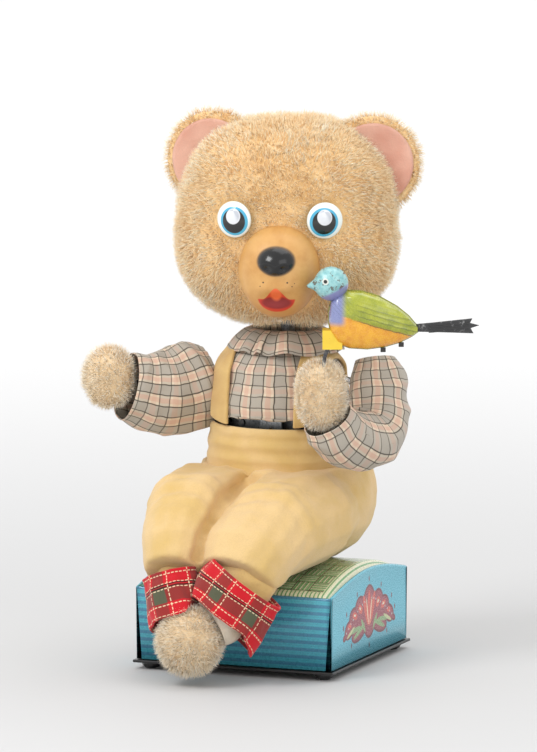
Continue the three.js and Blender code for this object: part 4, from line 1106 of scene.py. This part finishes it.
def around_torso(heights, out, cols=144):
    """A grid around the torso. out is how far off the casing each (row, angle) is."""
    angle = np.linspace(0, 2 * math.pi, cols, endpoint=False)
    casing = np.interp(heights, TORSO_HEIGHTS, TORSO_RADII)[:, None]
    radius = casing + out(np.asarray(heights)[:, None], angle)
    z = np.repeat(np.asarray(heights, float)[:, None], cols, 1)
    return np.stack([radius * np.cos(angle), TORSO_Y + radius * TORSO_SQUASH * np.sin(angle), z], axis=2)


def folds(grid, size, depth, seed, stretch=(1, 1, 1)):
    """Creases: ridges of smooth noise, sharper along their tops than in their hollows."""
    waves = hills(grid * np.asarray(stretch), size, seed)
    return depth * (1 - 2 * np.abs(waves)) * 0.7 + depth * 0.5 * hills(grid, size * 2.3, seed + 1)


def outward_of(grid, wrap=True):
    """The direction away from the surface at each grid corner."""
    if wrap:
        across = np.roll(grid, -1, axis=1) - np.roll(grid, 1, axis=1)
    else:
        across = np.gradient(grid, axis=1)
    return unit(np.cross(across, np.gradient(grid, axis=0)))


def make_shirt():
    heights = np.concatenate([[86.2, 85.3, 85.2], np.linspace(86.2, 110.4, 56)])

    def out(z, angle):
        puff = 0.9 * np.exp(-((z - 90) / 6) ** 2)
        shoulder = 1.2 * np.exp(-((z - 98) / 9) ** 2) * np.cos(angle) ** 8
        return 1.35 + puff + shoulder - 0.4 * np.clip((z - 106) / 5, 0, 1)

    grid = around_torso(heights, out)
    grid += outward_of(grid) * folds(grid, 7.0, 0.75, 51, (1, 1, 0.45))[..., None]
    grid[:2] -= (outward_of(grid) * np.array([1.0, 0.4] + [0] * 57)[:, None, None])[:2]
    shirt = skin("shirt_cloth", grid, weave_of(grid), PLAID)
    thicken(shirt, 0.5, 1)
    belongs(shirt, "base", "shirt_body")
    cloth(shirt, "gathered", ["torso_shell_front", "torso_shell_rear"])
    make_collar()


def make_collar():
    """A gathered frill that stands out around the neck."""
    rows, cols = 16, 260
    share = np.linspace(0, 1, rows)[:, None]
    angle = np.linspace(0, 2 * math.pi, cols, endpoint=False)[None]
    ring = np.stack([np.cos(angle), np.sin(angle), 0 * angle], axis=2)[0]
    depth = 0.35 + 0.5 * hills(ring * 20, 7, 64)[None]
    ruffle = depth * np.sin(10 * angle + 3.5 * hills(ring * 20, 11, 61)[None])
    radius = 11.2 + (9.0 + 0.8 * hills(ring * 20, 12, 62)[None]) * share
    wave = ruffle * (0.25 + 0.75 * share)
    z = 114.6 + 1.6 * np.sin(share * math.pi * 0.6) + wave - 8.5 * share ** 1.6
    radius = radius + 0.8 * share * ruffle
    grid = np.stack([radius * np.cos(angle) + 2, radius * 0.88 * np.sin(angle) + 9, z], axis=2)
    grid += 0.18 * hills(grid, 2.4, 63)[..., None] * np.array([0, 0, 1])
    stand = [np.stack([10.9 * np.cos(angle[0]) + 2, 9.6 * np.sin(angle[0]) + 9, np.full(cols, z0)], axis=1)
             for z0 in (112.2, 113.6)]
    grid = np.concatenate([np.array(stand), grid])
    collar = skin("collar_frill", grid, weave_of(grid), PLAID)
    thicken(collar, 0.45, 1, 0)
    belongs(collar, "base", "shirt_collar")
    cloth(collar, "gathered", ["shirt_cloth"])


def sleeve(name, path, radii, wide, flat, body, node, seed, rows=84, cols=96):
    """A plain sleeve: an open tube gathered into the shoulder, creased along its length."""
    shares, values = zip(*radii)

    def reach(s, a):
        base = np.interp(s, shares, values)
        gather = np.exp(-(s / 0.07) ** 2)
        ripple = np.cos(17 * a + 3 * np.sin(2 * a + seed)) + 0.5 * np.cos(29 * a + seed)
        return base + gather * 0.30 * ripple

    grid = sweep(smooth_path(path, rows), cols, reach, wide, flat)
    share = np.linspace(0, 1, rows)[:, None]
    calm = np.clip(np.minimum(share / 0.1, (1.05 - share) / 0.1), 0.15, 1)
    grid += outward_of(grid) * (folds(grid, 8.5, 1.35, seed) * calm)[..., None]
    cloth_piece = skin(name, grid, weave_of(grid), PLAID, caps=(True, False))
    thicken(cloth_piece, 0.5, 1)
    belongs(cloth_piece, body, node)
    cloth(cloth_piece, "gathered", [f"arm_rod_{node.split('_')[1]}"])


def make_sleeves():
    sleeve("sleeve_right_cloth", [(-25.6, 6.5, 95.5), (-35, -3, 92), (-42, -9.5, 92.5), (-48, -15.2, 94.4)],
           [(0, 12.0), (0.18, 14.8), (0.4, 14.6), (0.7, 13.2), (0.88, 12.3), (1, 11.9)],
           (0, 0, 1), 0.8, "right_arm", "sleeve_right", 71)
    bent = [(35.0, 8, 106), (37.0, 5.5, 96), (38.4, 1, 86), (38.2, -5, 80.5), (35.6, -13, 80.5),
            (32.2, -20.5, 84.0), (30.0, -24.6, 89.5)]
    sleeve("sleeve_left_cloth", bent,
           [(0, 6.6), (0.12, 9.6), (0.35, 11.0), (0.55, 11.0), (0.75, 9.9), (0.9, 9.3), (1, 9.0)],
           (1, 0, 0), 0.95, "left_arm", "sleeve_left", 83)


# ------------------------------------------------------------------ overalls

def voxel_copy(name, node, voxel, material, levels=6):
    """An even skin over a solid node, ready to be creased."""
    source = bpy.data.objects.new(f"{name}_source", node.data.copy())
    bpy.context.scene.collection.objects.link(source)
    source.matrix_world = node.matrix_world
    remesh = source.modifiers.new("even", "REMESH")
    remesh.mode = "VOXEL"
    remesh.voxel_size = voxel * MM
    relax = source.modifiers.new("relax", "SMOOTH")
    relax.iterations = levels
    relax.factor = 0.5
    graph = bpy.context.evaluated_depsgraph_get()
    mesh = bpy.data.meshes.new_from_object(source.evaluated_get(graph))
    bpy.data.objects.remove(source)
    mesh.materials.clear()
    mesh.materials.append(material)
    mesh.polygons.foreach_set("use_smooth", [True] * len(mesh.polygons))
    mesh.name = name
    obj = bpy.data.objects.new(name, mesh)
    bpy.context.scene.collection.objects.link(obj)
    return obj


def points_of(obj):
    """An object's points in box millimetres, and the directions away from its surface."""
    count = len(obj.data.vertices)
    points, normals = np.zeros(count * 3), np.zeros(count * 3)
    obj.data.vertices.foreach_get("co", points)
    obj.data.vertex_normals.foreach_get("vector", normals)
    return points.reshape(-1, 3) / MM - ORIGIN / MM, normals.reshape(-1, 3)


def move_points(obj, points):
    obj.data.vertices.foreach_set("co", place(points).ravel())
    obj.data.update()


def make_overalls():
    trousers = voxel_copy("overalls_felt", NODES["overalls"], 0.75, FELT, 10)
    points, outward = points_of(trousers)
    x, y, z = points.T
    rise = 0.55 * folds(points, 13, 1.2, 91) + 0.22 * folds(points, 5.0, 1.0, 93)
    lap = np.exp(-((z - 66) / 5) ** 2)
    rise += 0.5 * lap * np.sin(x / 2.6 + 1.4 * hills(points, 9, 95))
    for knee_y, knee_x in ((-38, -17.5), (-36, 10.0)):
        knee = np.exp(-((y - knee_y) / 7) ** 2 - ((x - knee_x) / 14) ** 2)
        rise += 0.6 * knee * np.cos((y - knee_y) * 1.1 + 0.7 * hills(points, 6, 97))
    seam = np.exp(-((x + 2.0 - 0.08 * y) / 1.3) ** 2) * np.clip((-6 - y) / 10, 0, 1)
    rise -= 2.4 * seam
    free = np.clip((z - 33.5) / 3.0, 0, 1)
    on_top = np.clip(outward[:, 2] + 0.9, 0, 1)
    inside = (x / 24.6) ** 2 + ((y - TORSO_Y) / 21.0) ** 2 < 1
    sag = np.zeros(len(points))
    for foot_x, foot_y in ((9.0, -51), (-15.2, -51)):
        near = np.exp(-((x - foot_x) / 9.5) ** 4 - ((y - foot_y) / 9.5) ** 4)
        sag += near * np.clip((41 - z) / 7, 0, 1) * 5.0
    points = points - sag[:, None] * np.array([0, 0, 1])
    move_points(trousers, points + outward * (rise * free * on_top * ~inside)[:, None])
    belongs(trousers, "base", "overalls")
    make_shins()
    make_waistband()
    make_straps()


def make_shins():
    """The felt of each leg below the knee, which runs down into the cuffs."""
    shins = [("left", [(10.8, -42, 45), (10.6, -48.5, 38.5), (7.6, -52.0, 32)], 11.8, 0.70, (0.85, 0, -0.53)),
             ("right", [(-17.0, -43, 45), (-16.8, -49.5, 38.5), (-15.2, -52.4, 33)], 7.9, 0.9, (0.8, 0, 0.5))]
    for name, path, half, flat, wide in shins:
        def reach(s, a, half=half):
            return half - 1.5 * s + 0.25 * np.sin(5 * a)

        grid = sweep(smooth_path(path, 40), 72, reach, wide, flat)
        grid += outward_of(grid) * folds(grid, 8, 0.5, 99)[..., None]
        shin = skin(f"leg_{name}_felt", clear_of_foot(grid, 1.0), weave_of(grid), FELT, caps=(True, True))
        smooth(shin, 1)
        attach(shin, "base")


def make_waistband():
    """The turned-over top of the overalls: felt that folds outward and bags a little."""
    heights = np.concatenate([np.linspace(65.6, 81.0, 34), [81.9, 82.3, 82.2, 81.2, 80.0]])
    level = {"out": np.concatenate([np.linspace(3.3, 2.6, 34), [2.45, 1.9, 1.2, 0.8, 0.75]])}

    def out(z, angle):
        return level["out"][:, None] + 0 * angle

    grid = around_torso(heights, out)
    crease = 0.45 * np.sin((grid[..., 2] - 74.5) * 1.15 + 1.5 * hills(grid, 12, 101))
    calm = np.clip(np.minimum(heights[:34] - 67.8, 81.6 - heights[:34]) / 3, 0, 1)
    calm = np.concatenate([calm, np.zeros(5)])[:, None]
    grid += outward_of(grid) * ((crease + 0.5 * folds(grid, 6.5, 0.8, 102)) * calm * 0.6)[..., None]
    band = skin("waistband_felt", grid, weave_of(grid), FELT)
    thicken(band, 0.9, 1)
    belongs(band, "base", "overalls_waistband")
    cloth(band, "folded", ["torso_shell_front", "torso_shell_rear"])


def strap_point(x, angle, out):
    """Where a ray in the plane at x leaves the shirt, from a point inside the chest."""
    low, high = 0.0, 60.0
    direction = np.array([-math.cos(angle), math.sin(angle)])
    for _ in range(40):
        reach = (low + high) / 2
        y, z = np.array([TORSO_Y, 90.0]) + reach * direction
        radius = np.interp(z, TORSO_HEIGHTS, TORSO_RADII) + out
        inside = (x / radius) ** 2 + ((y - TORSO_Y) / (radius * TORSO_SQUASH)) ** 2 < 1 and z < 110.6 + out
        low, high = (reach, high) if inside else (low, reach)
    return np.array([x, y, z])


def make_straps():
    for side, name in ((-1, "right"), (1, "left")):
        rows, cols = 80, 13
        grid = np.zeros((rows, cols, 3))
        for i, angle in enumerate(np.linspace(-0.36, math.pi + 0.36, rows)):
            for j, x in enumerate(np.linspace(12.4, 20.8, cols)):
                grid[i, j] = strap_point(side * x, angle, 4.25)
        for _ in range(6):
            grid[1:-1] = 0.5 * grid[1:-1] + 0.25 * (grid[:-2] + grid[2:])
        grid[..., 2] = np.maximum(grid[..., 2], 82.9)
        away = outward_of(grid, False)
        middle = grid.mean(axis=(0, 1))
        away *= np.sign((away * (grid - middle)).sum(axis=2, keepdims=True))
        grid += away * (0.22 * hills(grid, 3.6, 111 + side))[..., None]
        if np.dot(np.cross(grid[41, 6] - grid[40, 6], grid[40, 7] - grid[40, 6]), away[40, 6]) > 0:
            grid = grid[:, ::-1]
        strap = skin(f"strap_{name}_felt", grid, weave_of(grid, False), STRAP_FELT, wrap=False)
        thicken(strap, 1.3, 1)
        belongs(strap, "base", f"strap_{name}")
        cloth(strap, "laid", ["shirt_cloth"])


# ------------------------------------------------------------------ cuffs, feet and paws

FOOT_AT, FOOT_SIZE = np.array([-6.6, -60.6, 15.6]), np.array([11.4, 10.0, 12.0])


def clear_of_foot(grid, room=0.8):
    """Points inside the furry foot are moved out to its surface."""
    local = (grid - FOOT_AT) / (FOOT_SIZE + room)
    reach = np.linalg.norm(local, axis=-1, keepdims=True)
    return FOOT_AT + local * (FOOT_SIZE + room) * np.maximum(1, 1 / np.maximum(reach, 1e-6))


def make_cuffs():
    left_path = [(11.3, -52.6, 35.8), (8.6, -53.6, 31.8), (4.8, -55.4, 25.5), (0.6, -56.4, 19.3)]
    right_path = [(-16.8, -52.5, 36.8), (-15.5, -53.6, 33), (-13.2, -55.9, 26.8), (-11, -57.5, 20.5)]
    cuffs = [("left", left_path, 15.2, 0.66, (0.85, 0, -0.53), 1),
             ("right", right_path, 10.3, 0.9, (0.8, 0, 0.5), -1)]
    for name, path, half, flat, wide, side in cuffs:
        rows, cols = 30, 96

        def reach(s, a, half=half, side=side):
            flare = 0.8 * s ** 2 - 0.4 * np.exp(-((s - 0.1) / 0.08) ** 2)
            ripple = 0.35 * np.sin(7 * a + 2 * np.sin(a) + side) * (0.4 + s) + 0.2 * np.sin(13 * a + 4 * s)
            return half + flare + ripple

        grid = sweep(smooth_path(path, rows), cols, reach, wide, flat)
        grid += outward_of(grid) * (0.35 * hills(grid, 5, 121 + side))[..., None]
        ends = grid[-1:] + (grid[-1:] - grid[-2:-1]) * 0.25 * hills(grid[-1:], 1.6, 123)[..., None]
        grid = np.concatenate([grid[:-1], ends])
        share = np.linspace(0, 1, rows)[:, None]
        front = np.clip((grid[..., 1].mean(axis=1, keepdims=True) - grid[..., 1]) / 8, 0, 1)
        lift = front * share ** 2 * (6.5 if side > 0 else 2.0)
        grid += lift[..., None] * unit(np.array(path[0]) - np.array(path[-1]))
        grid = clear_of_foot(grid)
        if side > 0:
            grid[..., 0] = np.maximum(grid[..., 0], -5.2)
        else:
            grid[..., 0] = np.minimum(grid[..., 0], -5.9)
        away = grid[10, 20] - grid[10].mean(axis=0)
        outer = grid if (outward_of(grid)[10, 20] * away).sum() > 0 else grid[:, ::-1]
        cuff = skin(f"cuff_{name}_cotton", outer, weave_of(outer), TARTAN)
        thicken(cuff, 0.9, 1)
        belongs(cuff, "base", f"cuff_{name}")
        cloth(cuff, "gathered", ["overalls_felt"])


def make_sole():
    """The white felt sole that shows in the mouth of the left cuff."""
    local = rounded(np.array([9.2, 5.2, 8.6]), 2.1, 60, 72)
    local += unit(local) * (folds(local, 4.0, 0.5, 131) * 0.6)[..., None]
    grid = clear_of_foot(local + np.array([2.4, -56.6, 22.4]), 1.2)
    grid[..., 0] = np.maximum(grid[..., 0], -4.6)
    grid[..., 2] = np.minimum(grid[..., 2], 33.2)
    sole = skin("foot_left_felt", grid, weave_of(grid), WHITE_FELT, caps=(True, True))
    smooth(sole, 1)
    belongs(sole, "base", "foot_left")


def furry(name, node, body, at, size, exponent, hair, towards, seed):
    """A stuffed paw or foot: a plush skin with pile that leans one way."""
    size = np.asarray(size, float) - 1.0
    local = rounded(size, exponent, 40, 52)
    local += unit(local) * (0.4 * hills(local, 6, seed))[..., None]
    grid = local + np.asarray(at, float)
    body_skin = skin(name, grid, weave_of(grid), PAW_BACKING, caps=(True, True))
    belongs(body_skin, body, node)

    def flow(spots, outward):
        swirl = np.cross(outward, np.array([0.2, 0.4, 1.0])) * hills(spots, 7, seed + 1)[:, None]
        return 0.45 * np.asarray(towards, float) + 0.5 * swirl

    cover(f"{name}_pile", body_skin, 4.6, hair, flow, body, PAW_PLUSH, seed)


def make_paws_and_foot():
    furry("paw_right_plush", "paw_right", "right_arm", (-52.5, -19.5, 98.5), (9, 9, 10.5),
          2.2, 2.5, (-0.6, -0.6, 0.3), 141)
    furry("paw_left_plush", "paw_left", "left_arm", (28.6, -27, 98), (8.6, 8.2, 12),
          2.2, 2.5, (0, -0.5, 0.8), 151)
    furry("foot_right_plush", "foot_right", "base", FOOT_AT, FOOT_SIZE, 2.0, 2.8, (0, -0.5, -0.5), 161)


# ------------------------------------------------------------------ casing, clockwork and key

def make_metalwork():
    for node in ("torso_shell_front", "torso_shell_rear"):
        finish_node(NODES[node], CASING_TIN, 0.2, 2)
    card = felt_finish("pressed_card", (0.60, 0.50, 0.37), (0.48, 0.39, 0.28))
    finish_node(NODES["head_form"], card, 0.2, 2)
    steel_parts = ["winding_key", "winding_arbor", "neck_post", "arm_rod_right", "arm_rod_left",
                   "frame_plate_front", "frame_plate_rear", "pillar_lower_right", "pillar_lower_left",
                   "pillar_upper_right", "pillar_upper_left", "second_arbor", "governor_arbor",
                   "governor_weight", "click", "drive_lever", "lever_pivot"]
    for node in steel_parts:
        finish_node(NODES[node], STEEL, 0.12, 2)
    for node in ("great_wheel", "second_wheel", "crank_disc"):
        finish_node(NODES[node], BRASS, 0.08, 1)
    finish_node(NODES["mainspring"], SPRING_STEEL, 0.05, 1)


# ------------------------------------------------------------------ tin bird

BIRD_AT = np.array([46.2, -23.0, 124.6])
BIRD_TURN = math.radians(21.3)
BIRD_HEAD = np.array([-14.4, 0.0, 12.4])


def on_bird(points):
    """Points drawn about the bird's middle, its tail along +X, moved to where it is."""
    return turned(points, BIRD_TURN) + BIRD_AT


def bird_outline(x):
    """The bird's back and belly height at each place along it."""
    back = np.interp(x, [-15.2, -14.4, -12.5, -9, -4, 2, 8, 12, 15.2],
                     [2.6, 6.6, 9.2, 10.1, 9.9, 8.0, 4.6, 1.4, -2.3])
    belly = np.interp(x, [-15.2, -14.4, -12, -8, -2, 4, 9, 13, 15.2],
                      [-1.2, -5.2, -8.4, -9.8, -10.1, -9.3, -7.9, -5.9, -4.3])
    return back, belly


def bird_body_finish():
    """Yellow belly, green embossed wings with dark feather lines, blue shoulders."""
    paint = Paint("bird_enamel", roughness=0.28, Coat_Weight=0.9, Coat_Roughness=0.06)
    vector, x, z, _ = paint.places("weave")
    wobble = paint.math("MULTIPLY", paint.math("SUBTRACT", paint.noise(vector, 0.35, 3), 0.5), 1.2)
    slope = paint.math("ADD", z, paint.math("MULTIPLY", x, 0.30))
    line = paint.math("ADD", slope, wobble)
    yellow = paint.mottle(vector, (0.3, 3), (0.35, 0.7), srgb(0.92, 0.67, 0.12), srgb(0.86, 0.56, 0.07))
    wing = paint.mottle(vector, (0.25, 3), (0.3, 0.7), srgb(0.66, 0.68, 0.14), srgb(0.54, 0.58, 0.11))
    border = paint.ramp(line, -1.6, -0.9)
    colour = paint.mix(border, yellow, wing)
    for level, strength in ((-1.4, 0.75), (0.5, 0.5), (2.3, 0.45), (4.0, 0.35)):
        gap = paint.math("ABSOLUTE", paint.math("SUBTRACT", line, level))
        feather = paint.ramp(gap, 0.08, 0.3, strength, 0.0)
        feather = paint.math("MULTIPLY", feather, paint.ramp(x, -7.5, -3.5))
        colour = paint.mix(feather, colour, srgb(0.20, 0.24, 0.08))
    shoulder = paint.math("MULTIPLY", paint.ramp(x, -11.4, -8.8, 1, 0), paint.ramp(z, -2.4, 0.2))
    colour = paint.mix(shoulder, colour, srgb(0.49, 0.52, 0.70))
    ticks = paint.stripe(paint.math("ADD", x, z), 1.5, 0, 0.25, 0.12)
    scales = paint.math("MULTIPLY", ticks, paint.ramp(x, -9, -6, 0.35, 0))
    colour = paint.mix(paint.math("MULTIPLY", scales, border), colour, srgb(0.22, 0.28, 0.10))
    chips = paint.ramp(paint.noise(vector, 0.9, 5, 0.7), 0.68, 0.72, 0, 0.8)
    colour = paint.mix(chips, colour, srgb(0.40, 0.30, 0.16))
    paint.colour(colour)
    paint.rough(paint.ramp(paint.noise(vector, 1.8, 3), 0.3, 0.8, 0.2, 0.4))
    return paint.material


def bird_half(side, rows=70, cols=40):
    """One stamped half: a raised wing over a rounded flank."""
    x = -15.2 + 30.4 * (0.5 - 0.5 * np.cos(np.linspace(0, math.pi, rows)))
    back, belly = bird_outline(x)
    angle = np.linspace(-math.pi / 2, math.pi / 2, cols)
    middle, half = (back + belly) / 2, (back - belly) / 2
    z = middle[:, None] + half[:, None] * np.sin(angle)
    depth = 5.3 * np.minimum(1, (half / 9.0)[:, None]) ** 0.7
    y = depth * np.abs(np.cos(angle)) ** 0.85
    xs = np.repeat(x[:, None], cols, 1)
    slope = z + 0.30 * xs
    wing = 1 / (1 + np.exp(-(slope + 1.2) / 0.22)) * (1 / (1 + np.exp(-(xs + 8.2) / 0.5)))
    wing = wing * (np.cos(angle)[None] > 0.05)
    rib = 0.16 * np.cos((slope + 1.4) * 2 * math.pi / 1.85) * wing
    crown = np.clip(np.cos(angle)[None] * 2, 0, 1)
    y = y + 0.75 * wing * crown + rib * crown
    y = np.maximum(y, 0.0) + 0.18
    return np.stack([xs, side * y, z], axis=2)


def make_bird():
    finish = bird_body_finish()
    for side, name in ((-1, "right"), (1, "left")):
        local = bird_half(side)
        grid = local if side < 0 else local[:, ::-1]
        half = skin(f"bird_half_{name}", on_bird(grid), np.stack([grid[..., 0], grid[..., 2]], axis=2),
                    finish, wrap=False)
        face_outward(half, fill=True)
        belongs(half, "left_arm", f"bird_body_{name}")
    seam = bird_seam()
    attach(seam, "left_arm")
    make_bird_head()
    make_bird_tail()
    perch = NODES["bird_perch"]
    yellow = enamel_finish("bird_yellow", (0.93, 0.79, 0.20), wear=0.35, roughness=0.35)
    finish_node(perch, yellow, 0.5, 2)
    finish_node(NODES["bird_wire"], metal_finish("bird_wire_steel", (0.42, 0.42, 0.43), 0.4))
    spots = ((3.4, -10.4), (9.6, -8.6))
    for number, (x, z) in enumerate(spots):
        tab = slab(f"bird_tab_{number + 1}", (x - 0.9, -0.5, z - 0.9), (x + 0.9, 0.5, z + 0.7),
                   enamel_finish(f"bird_tab_black_{number + 1}", (0.13, 0.12, 0.11), roughness=0.4), 0.15)
        corners = np.array([list(v.co) for v in tab.data.vertices]) / MM - ORIGIN / MM
        shift = place(on_bird(corners))
        for vertex, spot in zip(tab.data.vertices, shift):
            vertex.co = spot
        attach(tab, "left_arm")


def bird_seam():
    """The folded seam where the two stamped halves meet, all round the body."""
    x = -15.2 + 30.4 * (0.5 - 0.5 * np.cos(np.linspace(0, math.pi, 60)))
    back, belly = bird_outline(x)
    loop = np.concatenate([np.stack([x, 0 * x, back], 1), np.stack([x, 0 * x, belly], 1)[::-1]])
    middle = loop.mean(axis=0)
    away = unit(loop - middle)
    rings = []
    for out, y in ((0.28, -0.26), (0.28, 0.26), (-0.3, 0.26), (-0.3, -0.26)):
        ring = loop + away * out
        ring[:, 1] = y
        rings.append(ring)
    grid = np.array(rings).transpose(1, 0, 2)
    grid = np.concatenate([grid, grid[:1]])
    finish = enamel_finish("bird_seam_enamel", (0.55, 0.56, 0.16), wear=0.5)
    return skin("bird_seam", on_bird(grid), weave_of(grid), finish)


def make_bird_head():
    paint = Paint("bird_head_enamel", roughness=0.3, Coat_Weight=0.4, Coat_Roughness=0.12)
    vector, x, z, _ = paint.places("weave")
    blue = paint.mottle(vector, (0.6, 3), (0.35, 0.7), srgb(0.60, 0.79, 0.79), srgb(0.45, 0.68, 0.70))
    lost = paint.ramp(paint.noise(vector, 0.42, 5, 0.75), 0.55, 0.58)
    colour = paint.mix(lost, blue, srgb(0.36, 0.31, 0.26))
    throat = paint.ramp(paint.math("SUBTRACT", z, paint.math("MULTIPLY", x, 0.5)), -3.4, -2.0, 1, 0)
    colour = paint.mix(throat, colour, srgb(0.50, 0.51, 0.70))
    ring = paint.ellipse(x, z, -2.0, 1.4, 1.1, 1.1, 0, 0.15)
    colour = paint.mix(ring, colour, srgb(0.85, 0.86, 0.82))
    colour = paint.mix(paint.ellipse(x, z, -2.0, 1.4, 0.65, 0.65, 0, 0.2), colour, srgb(0.05, 0.05, 0.05))
    paint.colour(colour)
    paint.bump(lost, 0.25, 0.0001)
    ball = rounded(np.array([5.9, 5.3, 5.9]), 2.0, 44, 56)
    x0, y0, z0 = np.moveaxis(ball, 2, 0)
    beak = np.exp(-(z0 + 0.4) ** 2 / 1.7 - y0 ** 2 / 1.7) * (x0 < 0)
    ball[..., 0] -= beak * 2.6
    ball[..., 2] -= beak * 0.5
    printed = np.stack([ball[..., 0], ball[..., 2]], axis=2)
    printed = np.concatenate([printed, printed[:, :1]], axis=1)
    head = skin("bird_head_tin", on_bird(ball + BIRD_HEAD), printed, paint.material, caps=(True, True))
    belongs(head, "bird_head_set", "bird_head")


def make_bird_tail():
    """A notched strip of tin with pressed quills."""
    paint = enamel_finish("bird_tail_enamel", (0.17, 0.17, 0.175), worn=(0.50, 0.50, 0.50),
                          wear=0.55, roughness=0.42)
    outline = np.array([(12.2, -4.2), (12.2, -1.8), (20, -1.1), (27, -0.35), (34, 0.4), (33.2, -1.2),
                        (36.4, -2), (33.4, -3), (34.4, -4.8), (27, -4.55), (20, -4.35)])
    count = len(outline)
    front = np.stack([outline[:, 0], np.full(count, -0.35), outline[:, 1]], 1)
    points = np.concatenate([front, front + np.array([0, 0.7, 0])])
    faces = [tuple(range(count)), tuple(range(2 * count - 1, count - 1, -1))]
    faces += [(k, count + k, count + (k + 1) % count, (k + 1) % count) for k in range(count)]
    tail = add_mesh("bird_tail_strip", on_bird(points), faces, paint, smooth=False)
    bevel(tail, 0.14, 2)
    belongs(tail, "bird_tail_set", "bird_tail")
    for number, rise in enumerate((-0.9, -2.0, -3.2)):
        path = smooth_path([(19, -0.42, rise - 1.2), (26, -0.5, rise - 0.6), (32.6, -0.42, rise + 0.1)], 16)
        quill = skin(f"bird_quill_{number + 1}", on_bird(sweep(path, 8, np.full(16, 0.22), (0, 0, 1))),
                     np.zeros((16, 9, 2)), paint, caps=(True, True))
        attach(quill, "bird_tail_set")


make_camera()
make_studio()
make_head()
make_ears()
make_eyes()
make_muzzle()
make_box()
make_metalwork()
make_shirt()
make_sleeves()
make_overalls()
make_cuffs()
make_sole()
make_paws_and_foot()
make_bird()
